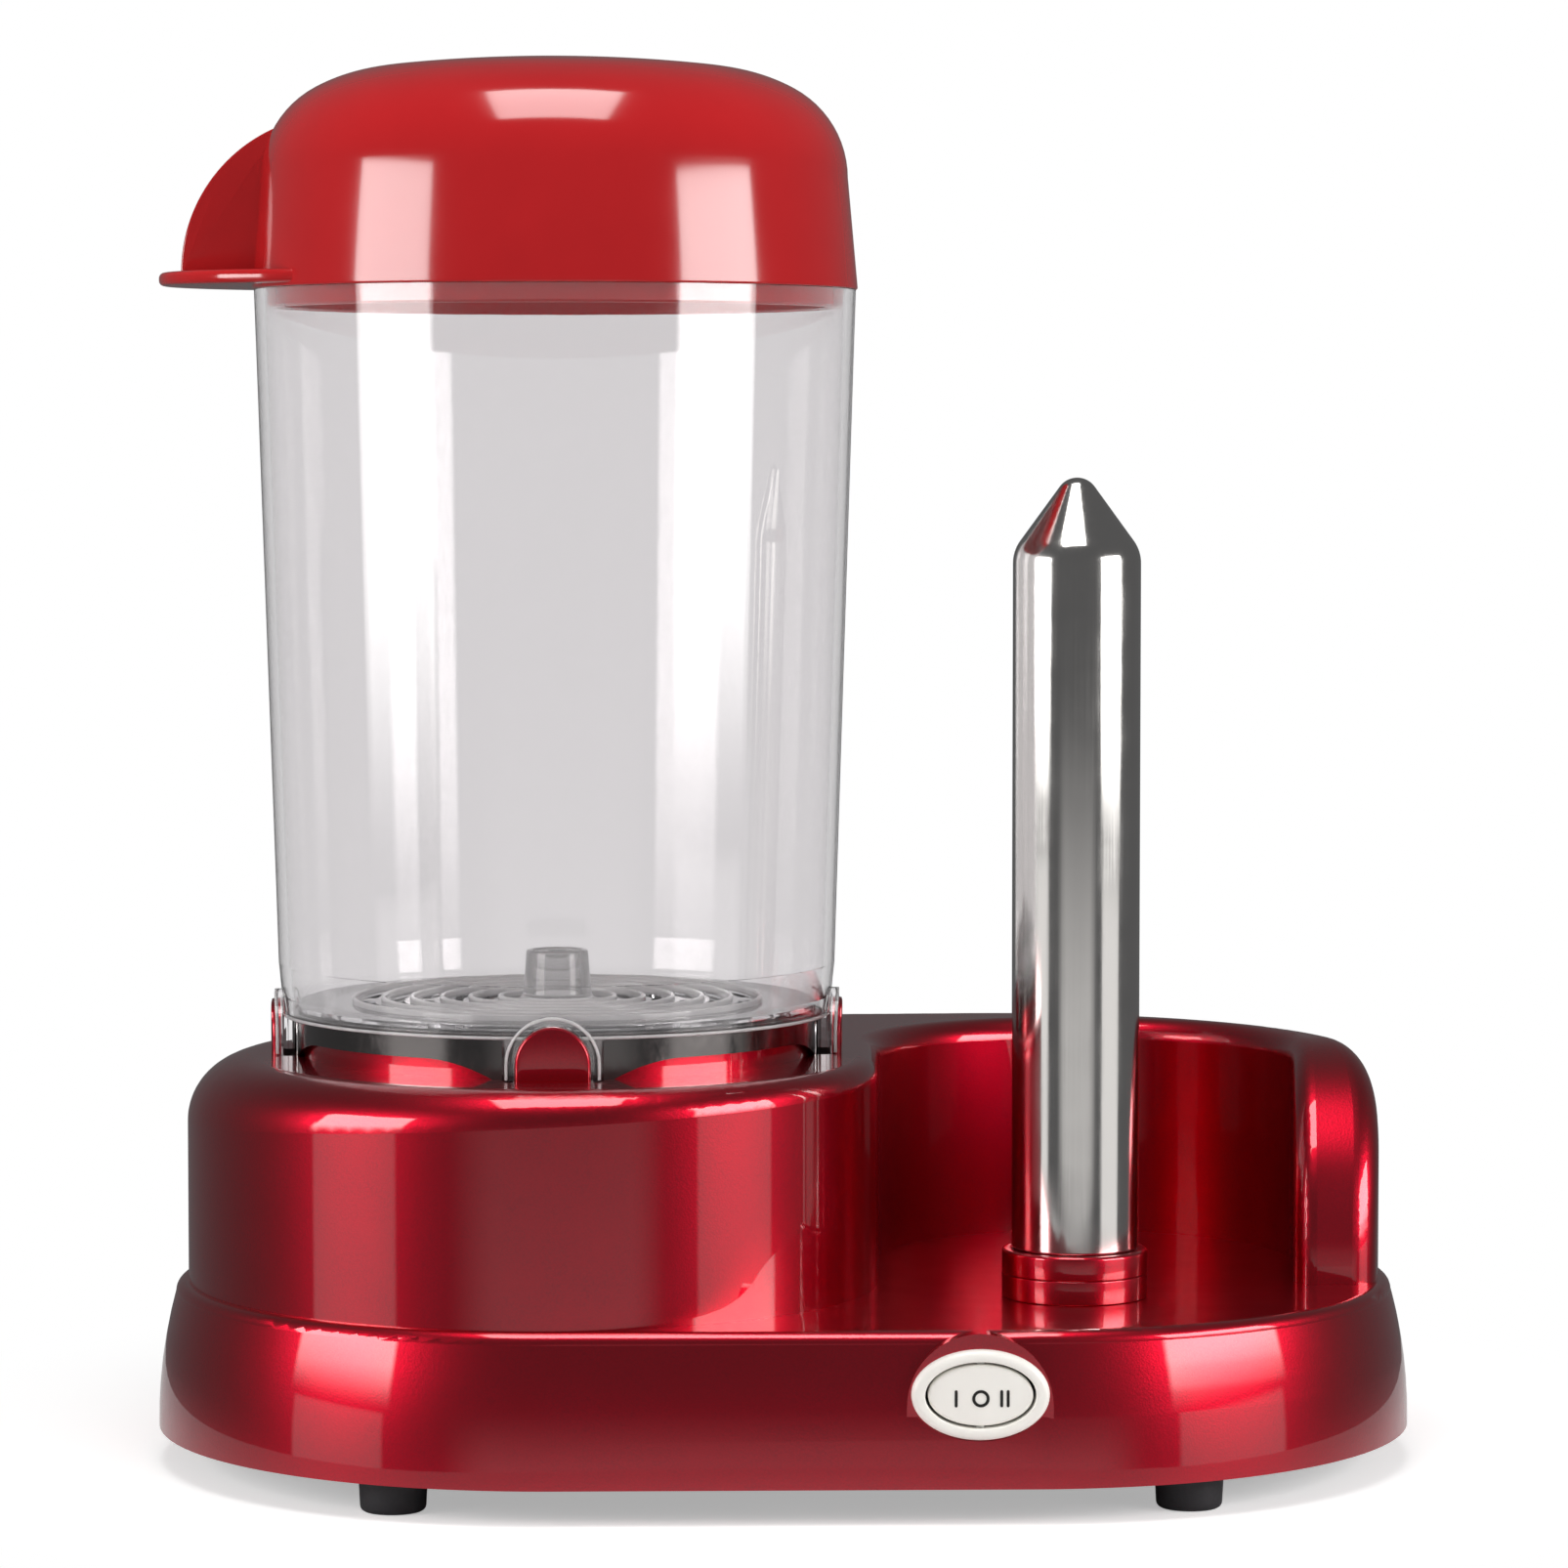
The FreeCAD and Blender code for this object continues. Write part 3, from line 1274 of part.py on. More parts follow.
plate_holes += [
    cylinder("plate_foot_hole_%s" % name, S.screw_radius, S.plate_thickness * 3,
             side * foot_along, depth * foot_across, plate_low - S.plate_thickness)
    for name, side, depth in FOOT_NAMES
]
plate_holes += [
    cylinder("plate_clamp_hole_%d" % number, S.screw_radius, S.clamp_post_height + S.overlap,
             S.gland_along + side * clamp_screw_along, clamp_y, plate_high)
    for number, side in enumerate((-1, 1))
]
VENTS = 7
plate_vents = [
    block("plate_vent_%d" % number, S.vent_width, S.vent_length, S.plate_thickness * 3,
          drum_x + S.vent_pitch * (number - VENTS // 2), 0, plate_low - S.plate_thickness)
    for number in range(VENTS)
]
node(cut("base_plate", fuse("plate_with_posts", [plate_form] + clamp_posts),
         plate_holes + plate_vents), "base_plate")

foot_screw_group = []
for name, side, depth in FOOT_NAMES:
    x, y = side * foot_along, depth * foot_across
    foot_form = cone(name + "_form", S.foot_radius - S.foot_taper, S.foot_radius, plate_low,
                     x, y, 0)
    head_room = cylinder(name + "_head_room", S.screw_head_radius + S.hole_gap,
                         S.foot_seat_depth, x, y, 0)
    shank_room = cylinder(name + "_shank_room", S.screw_radius, plate_low, x, y, 0)
    node(cut(name, foot_form, [head_room, shank_room]), name)
    foot_screw_group.append(screw(name + "_screw", x, y, S.foot_seat_depth,
                                  plate_high - S.foot_seat_depth))
node(group("foot_screws", foot_screw_group), "foot_screws")
node(group("base_screws", [
    screw("base_screw_%d" % number, x, y, plate_low, S.screw_length)
    for number, (x, y) in enumerate(post_places())
]), "base_screws")
node(group("housing_screws", [
    screw("housing_screw_%d" % number, x, y, deck_underside, S.screw_length)
    for number, (x, y) in enumerate(BOSS_PLACES)
]), "housing_screws")

gland_back = gland_face + S.gland_stand
gland_inner = gland_back - S.gland_depth - S.gland_stand
gland_flange = cylinder("gland_flange", S.gland_flange_radius, S.gland_stand, S.gland_along,
                        gland_face, S.gland_level, FACING_BACK)
gland_neck = cylinder("gland_neck", S.gland_neck_radius, gland_back - gland_inner,
                      S.gland_along, gland_inner, S.gland_level, FACING_BACK)
gland_clip = cylinder("gland_clip", S.gland_clip_radius, S.gland_clip_thickness, S.gland_along,
                      gland_face - S.pad_depth - S.gland_clip_thickness, S.gland_level,
                      FACING_BACK)
gland_bore = cylinder("gland_bore", S.gland_bore, S.gland_depth * 2, S.gland_along,
                      gland_inner - S.overlap, S.gland_level, FACING_BACK)
node(cut("cable_gland", fuse("gland_form", [gland_flange, gland_neck, gland_clip]),
         [gland_bore]), "cable_gland")

clamp_bar = block("clamp_bar", S.clamp_length, S.clamp_width, S.clamp_thickness,
                  S.gland_along, clamp_y, plate_high + S.clamp_post_height)
clamp_holes = [
    cylinder("clamp_hole_%d" % number, S.screw_radius, S.clamp_thickness * 3,
             S.gland_along + side * clamp_screw_along, clamp_y, plate_high)
    for number, side in enumerate((-1, 1))
]
node(cut("cord_clamp", clamp_bar, clamp_holes), "cord_clamp")
clamp_screw_group = []
clamp_seat = plate_high + S.clamp_post_height + S.clamp_thickness
for number, side in enumerate((-1, 1)):
    x = S.gland_along + side * clamp_screw_along
    head = cylinder("clamp_screw_%d_head" % number, S.screw_head_radius, S.screw_head_height,
                    x, clamp_y, clamp_seat)
    shank = cylinder("clamp_screw_%d_shank" % number, S.screw_radius,
                     S.clamp_post_height + S.clamp_thickness, x, clamp_y,
                     clamp_seat - S.clamp_post_height - S.clamp_thickness)
    clamp_screw_group.append(fuse("clamp_screw_%d" % number, [head, shank]))
node(group("clamp_screws", clamp_screw_group), "clamp_screws")

BLOCK_WAYS = 4
block_form = block("block_form", S.block_length, S.block_width, S.block_height, S.block_along,
                   S.block_across, plate_high)
block_wire_holes = []
for number in range(BLOCK_WAYS):
    x = S.block_length / BLOCK_WAYS * (number + 0.5 - BLOCK_WAYS / 2) + S.block_along
    block_wire_holes.append(cylinder("block_wire_hole_%d" % number, S.block_hole,
                                     S.block_width * 2, x, S.block_across - S.block_width,
                                     plate_high + S.block_height / 2, FACING_BACK))
node(cut("terminal_block", block_form, block_wire_holes), "terminal_block")

# ---------------------------------------------------------------- check and write

doc.recompute()
for thing in doc.Objects:
    if "Invalid" in thing.State or "Error" in thing.State:
        raise RuntimeError("%s failed to build: %s" % (thing.Name, thing.State))
for thing in nodes:
    if thing.Shape.isNull() or not thing.Shape.isValid():
        raise RuntimeError("%s has no valid shape" % thing.Label)
    if not thing.Shape.Solids:
        raise RuntimeError("%s has no solid" % thing.Label)

os.makedirs("parts", exist_ok=True)
for thing in nodes:
    thing.Shape.exportStep("parts/%s.step" % thing.Label)
    print(thing.Label, len(thing.Shape.Solids), "solids", round(thing.Shape.Volume, 1), "mm3")
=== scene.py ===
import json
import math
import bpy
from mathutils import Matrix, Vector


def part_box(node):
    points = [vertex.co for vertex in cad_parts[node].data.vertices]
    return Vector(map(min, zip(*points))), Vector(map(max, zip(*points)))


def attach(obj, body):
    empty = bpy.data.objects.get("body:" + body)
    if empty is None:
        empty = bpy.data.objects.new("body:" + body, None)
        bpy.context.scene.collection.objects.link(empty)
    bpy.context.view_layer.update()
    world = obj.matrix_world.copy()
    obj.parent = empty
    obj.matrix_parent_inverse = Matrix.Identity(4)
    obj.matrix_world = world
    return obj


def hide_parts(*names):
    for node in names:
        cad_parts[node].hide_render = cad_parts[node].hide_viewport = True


bl_info = {
    "name": "Hot Dog Toaster",
    "version": (1, 0, 0),
    "blender": (4, 5, 0),
    "location": "View3D > Sidebar > Toaster",
    "description": "Moulded, spun and brushed pieces and finishes for the hot dog toaster",
    "category": "Object",
}

import bmesh
import bpy
from bmesh.types import BMEdge, BMVert
from bpy.props import FloatProperty, FloatVectorProperty, IntProperty, PointerProperty
from mathutils import Matrix, Vector
from mathutils.geometry import intersect_sphere_sphere_2d

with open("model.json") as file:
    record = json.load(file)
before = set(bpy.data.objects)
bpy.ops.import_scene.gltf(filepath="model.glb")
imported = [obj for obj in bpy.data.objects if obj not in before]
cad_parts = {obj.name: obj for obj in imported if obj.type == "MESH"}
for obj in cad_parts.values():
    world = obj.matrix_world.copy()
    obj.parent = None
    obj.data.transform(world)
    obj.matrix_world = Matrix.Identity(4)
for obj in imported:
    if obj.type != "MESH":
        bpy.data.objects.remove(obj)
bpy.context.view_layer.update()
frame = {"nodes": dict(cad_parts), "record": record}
NODES = frame["nodes"]
MM = 0.001
ORIGIN = Vector((0, 0, 0))
X_AXIS = Vector((1, 0, 0))
Y_AXIS = Vector((0, 1, 0))
Z_AXIS = Vector((0, 0, 1))
WHITE = (1, 1, 1, 1)


def linear(hex_code):
    """An sRGB hex colour as the linear red, green, blue and alpha that Blender works with."""
    channels = []
    for start in (0, 2, 4):
        value = int(hex_code[start:start + 2], 16) / 255
        low = value <= 0.04045
        channels.append(value / 12.92 if low else ((value + 0.055) / 1.055) ** 2.4)
    return (*channels, 1.0)


def middle_of(node):
    """Centre of a CAD node's box."""
    low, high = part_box(node)
    return (low + high) / 2


def half_size_of(node):
    """Half of a CAD node's width along X, depth along Y and height along Z."""
    low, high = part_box(node)
    return (high - low) / 2


DRUM = Vector((middle_of("seat_ring").x, 0, 0))
SPIKE = Vector((middle_of("spike_tube").x, middle_of("spike_tube").y, 0))
HOUSING_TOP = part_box("pan_skirt")[0].z
CONTAINER_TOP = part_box("container_shell")[1].z
LID_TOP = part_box("lid")[1].z


# ---------------------------------------------------------------- settings


def a_number(name, description, default, unit="NONE"):
    return FloatProperty(name=name, description=description, default=default, unit=unit)


def a_length(name, description, default):
    """A length in metres."""
    return a_number(name, description, default, "LENGTH")


def an_angle(name, description, degrees):
    """An angle, given in degrees and kept in radians."""
    return FloatProperty(name=name, description=description, default=math.radians(degrees),
                         subtype="ANGLE")


def a_colour(name, description, hex_code):
    return FloatVectorProperty(name=name, description=description, default=linear(hex_code),
                               subtype="COLOR", size=4)


class StageSettings(bpy.types.PropertyGroup):
    camera_distance: a_length("Camera distance", "From the camera to the toaster's middle", 1.192)
    camera_turn: an_angle("Camera turn", "Angle round the toaster, to the left when negative",
                          -1.4)
    camera_rise: an_angle("Camera rise", "Angle that the camera looks down by", 3.6)
    aim_height: a_length("Aim height", "Height of the point that the camera looks at", 0.145)
    lens: a_number("Lens", "Focal length on a 36 mm wide sensor", 126.8, "CAMERA")
    room_light: a_number("Room light", "Strength of the plain grey room", 0.125)
    side_radiance: a_number("Side softboxes", "Brightness of the softbox on each side", 7.6)
    low_radiance: a_number("Low softboxes", "Brightness of the dim softboxes below those", 0.8)
    front_radiance: a_number("Front fill", "Brightness of the wide fill low in front", 0.5)
    top_radiance: a_number("Top softbox", "Brightness of the long softbox over the front", 6.0)


class LacquerSettings(bpy.types.PropertyGroup):
    colour: a_colour("Candy red", "Colour of the metallic lacquer", "C20A26")
    deep: a_colour("Deep red", "Colour between the flakes", "701629")


class LidSettings(bpy.types.PropertyGroup):
    wall: a_length("Wall", "Thickness of the dome", 0.0024)
    corner_arc: a_length("Corner arc", "Radius where the side turns in", 0.0214)
    curve_arc: a_length("Curve arc", "Radius of the shoulder above it", 0.0378)
    corner_slope: an_angle("Corner slope", "Where the corner arc ends", 28.3)
    crown_slope: an_angle("Crown slope", "Where the shoulder arc ends", 6.78)
    draft: a_length("Draft", "How far the side leans in", 0.00211)
    overhang: a_length("Overhang", "How far the lid passes the container", 0.0004)
    spigot_clearance: a_length("Spigot clearance", "Room between the spigot and the container",
                               0.0005)
    spigot_wall: a_length("Spigot wall", "Thickness of the spigot", 0.0020)
    plate_radius: a_length("Handle plate radius", "Radius of the plate", 0.036)
    plate_thickness: a_length("Handle thickness", "Thickness of the plate and of the fin",
                              0.0028)
    plate_lift: a_length("Handle lift", "Plate above the lid's rim", 0.0007)
    fin_radius: a_length("Fin radius", "Radius of the fin's round edge", 0.0338)
    fin_offset: a_length("Fin offset", "Fin's centre from the lid's axis", 0.0462)
    colour: a_colour("Lid red", "Colour of the moulded lid", "C01C20")


class TraySettings(bpy.types.PropertyGroup):
    thickness: a_length("Thickness", "Thickness of the disc", 0.0016)
    first_slot: a_length("First slot", "Radius of the innermost slots", 0.0155)
    slot_pitch: a_length("Slot pitch", "From one ring to the next", 0.0063)
    slot_width: a_length("Slot width", "Width of a slot", 0.0030)
    rings: IntProperty(name="Slot rings", description="Number of rings of slots", default=5)
    bridges: IntProperty(name="Bridges", description="Bars across each ring", default=6)
    lip: a_length("Lip", "Height of the low walls beside the slots", 0.0012)


class SpikeSettings(bpy.types.PropertyGroup):
    shoulder_level: a_length("Shoulder level", "Where the cone begins", 0.196)
    cone_angle: an_angle("Cone angle", "Half angle of the cone", 36.0)
    shoulder_arc: a_length("Shoulder arc", "Rounding of the shoulder", 0.008)
    tip_arc: a_length("Tip arc", "Rounding of the tip", 0.0045)
    neck_radius: a_length("Neck radius", "Part inside the collar", 0.0128)
    wall: a_length("Wall", "Thickness of the tube", 0.001)
    steel: a_colour("Steel", "Colour of the stainless steel", "E0DEDB")


class SwitchSettings(bpy.types.PropertyGroup):
    gap: a_length("Rocker gap", "Room round the rocker", 0.0006)
    mark_height: a_length("Mark height", "Height of the switch marks", 0.0035)
    stroke: a_length("Mark stroke", "Width of the marks' lines", 0.0006)
    cream: a_colour("Cream", "Colour of the switch", "FCF9F3")


class ToasterSettings(bpy.types.PropertyGroup):
    stage: PointerProperty(type=StageSettings)
    lacquer: PointerProperty(type=LacquerSettings)
    lid: PointerProperty(type=LidSettings)
    tray: PointerProperty(type=TraySettings)
    spike: PointerProperty(type=SpikeSettings)
    switch: PointerProperty(type=SwitchSettings)


def settings():
    return bpy.context.scene.toaster


# ---------------------------------------------------------------- finishes


def add_node(tree, kind, inputs=None, **options):
    """Add a shader node; an input is a value, or a socket that it is linked from."""
    made = tree.nodes.new(kind)
    for name, value in options.items():
        setattr(made, name, value)
    for name, value in (inputs or {}).items():
        if isinstance(value, bpy.types.NodeSocket):
            tree.links.new(value, made.inputs[name])
        else:
            made.inputs[name].default_value = value
    return made


def new_material(name):
    """An empty node material, with its tree and the piece's own coordinates."""
    material = bpy.data.materials.new(name)
    material.use_nodes = True
    tree = material.node_tree
    tree.nodes.clear()
    return material, tree, add_node(tree, "ShaderNodeTexCoord").outputs["Object"]


def surfaced(material, shader):
    """The material, with the shader linked to its output."""
    add_node(material.node_tree, "ShaderNodeOutputMaterial", {"Surface": shader.outputs[0]})
    return material


def finish_of(build):
    """The finish that this function builds, made the first time that it is asked for."""
    found = bpy.data.materials.get(build.__name__)
    return found if found else build(build.__name__)


def tone(colour, share):
    """A darker or lighter tone of a colour."""
    return [min(channel * share, 1.0) for channel in colour[:3]] + [1.0]


def candy_lacquer(name):
    """Metallic lacquer over moulded ABS, sprayed and then clear coated.

    Aluminium flakes under a red tint glow where a lamp is near the mirror direction and go
    dark elsewhere; the clear coat adds sharp reflections with a trace of orange peel. Real
    flakes are about 0.05 mm, so they are drawn 0.45 mm wide to show at all.
    """
    flake_width, cloud_width, peel_width = 0.45 * MM, 9.0 * MM, 2.6 * MM
    flake_contrast = 0.55
    values = settings().lacquer
    material, tree, place = new_material(name)
    flakes = add_node(tree, "ShaderNodeTexVoronoi", {"Vector": place, "Scale": 1 / flake_width})
    clouds = add_node(tree, "ShaderNodeTexNoise",
                      {"Vector": place, "Scale": 1 / cloud_width, "Detail": 2.0})
    grain = add_node(tree, "ShaderNodeMath",
                     {0: flakes.outputs["Distance"], 1: flake_contrast}, operation="MULTIPLY")
    blend = add_node(tree, "ShaderNodeMath",
                     {0: grain.outputs[0], 1: clouds.outputs["Fac"]}, operation="MULTIPLY")
    colour = add_node(tree, "ShaderNodeMix",
                      {0: blend.outputs[0], 6: values.colour, 7: values.deep},
                      data_type="RGBA")
    rough = add_node(tree, "ShaderNodeMapRange",
                     {"Value": clouds.outputs["Fac"], "To Min": 0.32, "To Max": 0.38})
    flake_bump = add_node(tree, "ShaderNodeBump", {
        "Height": flakes.outputs["Distance"], "Strength": 0.14, "Distance": 0.1 * MM})
    peel = add_node(tree, "ShaderNodeTexNoise",
                    {"Vector": place, "Scale": 1 / peel_width, "Detail": 1.0})
    peel_bump = add_node(tree, "ShaderNodeBump", {
        "Height": peel.outputs["Fac"], "Strength": 0.05, "Distance": 0.05 * MM})
    return surfaced(material, add_node(tree, "ShaderNodeBsdfPrincipled", {
        "Base Color": colour.outputs[2], "Metallic": 1.0, "Roughness": rough.outputs[0],
        "Coat Weight": 1.0, "Coat Roughness": 0.03, "Coat IOR": 1.58,
        "Normal": flake_bump.outputs[0], "Coat Normal": peel_bump.outputs[0]}))


def gloss_red_abs(name, share=1.0):
    """Solid red ABS from a polished mould: even colour, mirror-like skin, faint flow lines."""
    flow_width, ripple_width = 14.0 * MM, 5.0 * MM
    red = settings().lid.colour
    material, tree, place = new_material(name)
    flow = add_node(tree, "ShaderNodeTexNoise",
                    {"Vector": place, "Scale": 1 / flow_width, "Detail": 2.0})
    # a share below one gives a darker copy of the red, used on the handle fin as painted shade
    colour = add_node(tree, "ShaderNodeMix", {
        0: flow.outputs["Fac"], 6: tone(red, share * 0.94), 7: tone(red, share * 1.06)},
        data_type="RGBA")
    ripple = add_node(tree, "ShaderNodeTexNoise",
                      {"Vector": place, "Scale": 1 / ripple_width, "Detail": 1.0})
    bump = add_node(tree, "ShaderNodeBump", {
        "Height": ripple.outputs["Fac"], "Strength": 0.04, "Distance": 0.05 * MM})
    rough = add_node(tree, "ShaderNodeMapRange",
                     {"Value": flow.outputs["Fac"], "To Min": 0.10, "To Max": 0.16})
    return surfaced(material, add_node(tree, "ShaderNodeBsdfPrincipled", {
        "Base Color": colour.outputs[2], "Roughness": rough.outputs[0], "IOR": 1.54,
        "Coat Weight": 0.45, "Coat Roughness": 0.03, "Coat IOR": 1.6,
        "Normal": bump.outputs[0], "Coat Normal": bump.outputs[0]}))


def painted_shade_red_abs(name):
    """The same ABS for the thin flat fin, made darker as painted shade."""
    return gloss_red_abs(name, 0.74)


def clear_styrene(name, tint, roughness, clear):
    """Clear moulded styrene: water-white, glossy, with a very faint waviness in the wall."""
    wave_width = 18.0 * MM
    material, tree, place = new_material(name)
    wave = add_node(tree, "ShaderNodeTexNoise",
                    {"Vector": place, "Scale": 1 / wave_width, "Detail": 1.0})
    bump = add_node(tree, "ShaderNodeBump", {
        "Height": wave.outputs["Fac"], "Strength": 0.03, "Distance": 0.1 * MM})
    return surfaced(material, add_node(tree, "ShaderNodeBsdfPrincipled", {
        "Base Color": linear(tint), "Roughness": roughness, "IOR": 1.49,
        "Transmission Weight": clear, "Normal": bump.outputs[0]}))


def container_styrene(name):
    """The container's wall, with the light grey cast of a thick clear moulding."""
    return clear_styrene(name, "EAE8E9", 0.02, 1.0)


def tray_styrene(name):
    """The steam tray's clear moulding, whose thin walls scatter a little light."""
    return clear_styrene(name, "FDFDFE", 0.02, 0.92)


def post_styrene(name):
    """The steam tray's hollow post, whose thick wall shows up light."""
    return clear_styrene(name, "FFFFFF", 0.03, 0.85)


def painted_highlight_styrene(name):
    """Rounded edges and low walls of the clear mouldings, whitened to show as painted highlights.
    """
    return clear_styrene(name, "FFFFFF", 0.08, 0.35)


def stainless(name, colour, line_width, line_length, roughness, depth):
    """Stainless steel with the fine lines of its working along Z and faint smears."""
    smear_width = 12.0 * MM
    material, tree, place = new_material(name)
    stretched = add_node(tree, "ShaderNodeMapping", {
        "Vector": place, "Scale": (1 / line_width, 1 / line_width, 1 / line_length)})
    lines = add_node(tree, "ShaderNodeTexNoise", {
        "Vector": stretched.outputs[0], "Scale": 1.0, "Detail": 4.0, "Roughness": 0.7})
    smears = add_node(tree, "ShaderNodeTexNoise",
                      {"Vector": place, "Scale": 1 / smear_width, "Detail": 3.0})
    both = add_node(tree, "ShaderNodeMath",
                    {0: lines.outputs["Fac"], 1: smears.outputs["Fac"]}, operation="MULTIPLY")
    rough = add_node(tree, "ShaderNodeMapRange", {
        "Value": both.outputs[0], "From Min": 0.1, "From Max": 0.45,
        "To Min": roughness * 0.6, "To Max": roughness * 1.7})
    bump = add_node(tree, "ShaderNodeBump", {
        "Height": lines.outputs["Fac"], "Strength": depth, "Distance": 0.05 * MM})
    return surfaced(material, add_node(tree, "ShaderNodeBsdfPrincipled", {
        "Base Color": colour, "Metallic": 1.0, "Roughness": rough.outputs[0],
        "Normal": bump.outputs[0]}))


def brushed_stainless(name):
    """The spike's steel, brushed along its length and then polished."""
    return stainless(name, settings().spike.steel, 0.35 * MM, 60.0 * MM, 0.12, 0.12)


def pressed_stainless(name):
    """The pan's pressed sheet steel, in a darker grey than bare steel."""
    return stainless(name, linear("7C7877"), 1.5 * MM, 3.0 * MM, 0.16, 0.05)


def fine_grained(name, colour, roughness, grain_width, grain_depth):
    """A moulded, printed or fired skin: one colour, slightly uneven, with a fine grain."""
    patch_width = 10.0 * MM
    material, tree, place = new_material(name)
    grain = add_node(tree, "ShaderNodeTexNoise",
                     {"Vector": place, "Scale": 1 / grain_width, "Detail": 3.0})
    patches = add_node(tree, "ShaderNodeTexNoise",
                       {"Vector": place, "Scale": 1 / patch_width, "Detail": 2.0})
    mottled = add_node(tree, "ShaderNodeMix", {
        0: patches.outputs["Fac"], 6: tone(colour, 0.93), 7: tone(colour, 1.05)},
        data_type="RGBA")
    rough = add_node(tree, "ShaderNodeMapRange", {
        "Value": grain.outputs["Fac"], "To Min": roughness * 0.85, "To Max": roughness * 1.15})
    bump = add_node(tree, "ShaderNodeBump", {
        "Height": grain.outputs["Fac"], "Strength": grain_depth, "Distance": 0.1 * MM})
    return surfaced(material, add_node(tree, "ShaderNodeBsdfPrincipled", {
        "Base Color": mottled.outputs[2], "Roughness": rough.outputs[0], "IOR": 1.5,
        "Normal": bump.outputs[0]}))


def cream_abs(name):
    """Cream ABS from a fine matt mould: soft even sheen."""
    return fine_grained(name, settings().switch.cream, 0.30, 0.5 * MM, 0.05)


def printed_black(name):
    """Pad-printed black ink: flat and slightly satin."""
    return fine_grained(name, linear("14120F"), 0.45, 0.3 * MM, 0.1)


def black_nylon(name):
    """Glass-filled black nylon: dark with a dull grainy skin."""
    return fine_grained(name, linear("1B1B1D"), 0.5, 0.6 * MM, 0.25)


def moulded_rubber(name):
    """Black moulded rubber: nearly matt, slightly grey with dust."""
    return fine_grained(name, linear("232226"), 0.62, 0.8 * MM, 0.3)


def cured_silicone(name):
    """White silicone: soft and waxy."""
    return fine_grained(name, linear("D9D6D0"), 0.5, 1.0 * MM, 0.1)


def glazed_ceramic(name):
    """Off-white steatite: dense and satin."""
    return fine_grained(name, linear("E6E2D8"), 0.4, 0.6 * MM, 0.2)


def raw_metal(name, colour, roughness, grain_width):
    """Bare metal with a fine even grain."""
    material, tree, place = new_material(name)
    grain = add_node(tree, "ShaderNodeTexNoise",
                     {"Vector": place, "Scale": 1 / grain_width, "Detail": 4.0})
    rough = add_node(tree, "ShaderNodeMapRange", {
        "Value": grain.outputs["Fac"], "To Min": roughness * 0.7, "To Max": roughness * 1.3})
    bump = add_node(tree, "ShaderNodeBump", {
        "Height": grain.outputs["Fac"], "Strength": 0.15, "Distance": 0.1 * MM})
    return surfaced(material, add_node(tree, "ShaderNodeBsdfPrincipled", {
        "Base Color": colour, "Metallic": 1.0, "Roughness": rough.outputs[0],
        "Normal": bump.outputs[0]}))


def zinc_plate(name):
    """Bright zinc plating on steel: pale, slightly cloudy."""
    return raw_metal(name, linear("C4C5C2"), 0.32, 0.8 * MM)


def cast_aluminium(name):
    """As-cast aluminium: pale and dull with a sandy grain."""
    return raw_metal(name, linear("BDBDBA"), 0.5, 1.2 * MM)


FINISHES = {
    "candy_red": candy_lacquer,
    "lid_red": gloss_red_abs,
    "clear_plastic": container_styrene,
    "stainless": pressed_stainless,
    "cream_plastic": cream_abs,
    "mark_black": printed_black,
    "foot_rubber": moulded_rubber,
    "black_plastic": black_nylon,
    "silicone": cured_silicone,
    "cast_aluminium": cast_aluminium,
    "zinc_steel": zinc_plate,
    "ceramic": glazed_ceramic,
}


# ---------------------------------------------------------------- modelling helpers


def of_kind(items, kind):
    """Those of a bmesh operator's results that are of one kind."""
    return [item for item in items if isinstance(item, kind)]


class Outline:
    """A line in the XZ plane, drawn by extruding and turning its last vertex."""

    def __init__(self, bm, x, z, y=0.0):
        self.bm = bm
        self.last = bm.verts.new((x, y, z))
        self.first = self.last

    def line(self, x, z):
        made = bmesh.ops.extrude_vert_indiv(self.bm, verts=[self.last])
        self.last = made["verts"][0]
        self.last.co = (x, self.last.co.y, z)
        return self

    def arc(self, x, z, angle, steps):
        """Turn about (x, z); a positive angle runs from +X towards +Z."""
        made = bmesh.ops.spin(self.bm, geom=[self.last], cent=(x, self.last.co.y, z),
                              axis=-Y_AXIS, angle=angle, steps=steps)
        self.last = of_kind(made["geom_last"], BMVert)[0]
        return self

    def close(self):
        self.bm.edges.new((self.last, self.first))
        return self


def lathe(bm, centre, steps):
    """Spin everything drawn so far about the upright axis, and move it to the centre."""
    bmesh.ops.spin(bm, geom=bm.verts[:] + bm.edges[:] + bm.faces[:], cent=ORIGIN, axis=Z_AXIS,
                   angle=math.tau, steps=steps, use_merge=True)
    bmesh.ops.translate(bm, verts=bm.verts, vec=centre)


def rounded_section(bm, corners):
    """Draw a closed outline of corners (x, z, radius), each rounded by its radius."""
    drawn = [bm.verts.new((x, 0, z)) for x, z, radius in corners]
    bm.faces.new(drawn)
    for vert, (x, z, radius) in zip(drawn, corners):
        if radius <= 0:
            continue
        ways = [edge.other_vert(vert).co - vert.co for edge in vert.link_edges]
        half = ways[0].angle(ways[1]) / 2
        bmesh.ops.bevel(bm, geom=[vert], offset=radius / math.tan(half), offset_type="OFFSET",
                        affect="VERTICES", segments=4, profile=0.5, material=-1,
                        clamp_overlap=True)
    bmesh.ops.delete(bm, geom=bm.faces[:], context="FACES_ONLY")


def round_edges(bm, edges, radius):
    bmesh.ops.bevel(bm, geom=edges, offset=radius, offset_type="OFFSET", affect="EDGES",
                    segments=4, profile=0.5, material=-1, clamp_overlap=True)


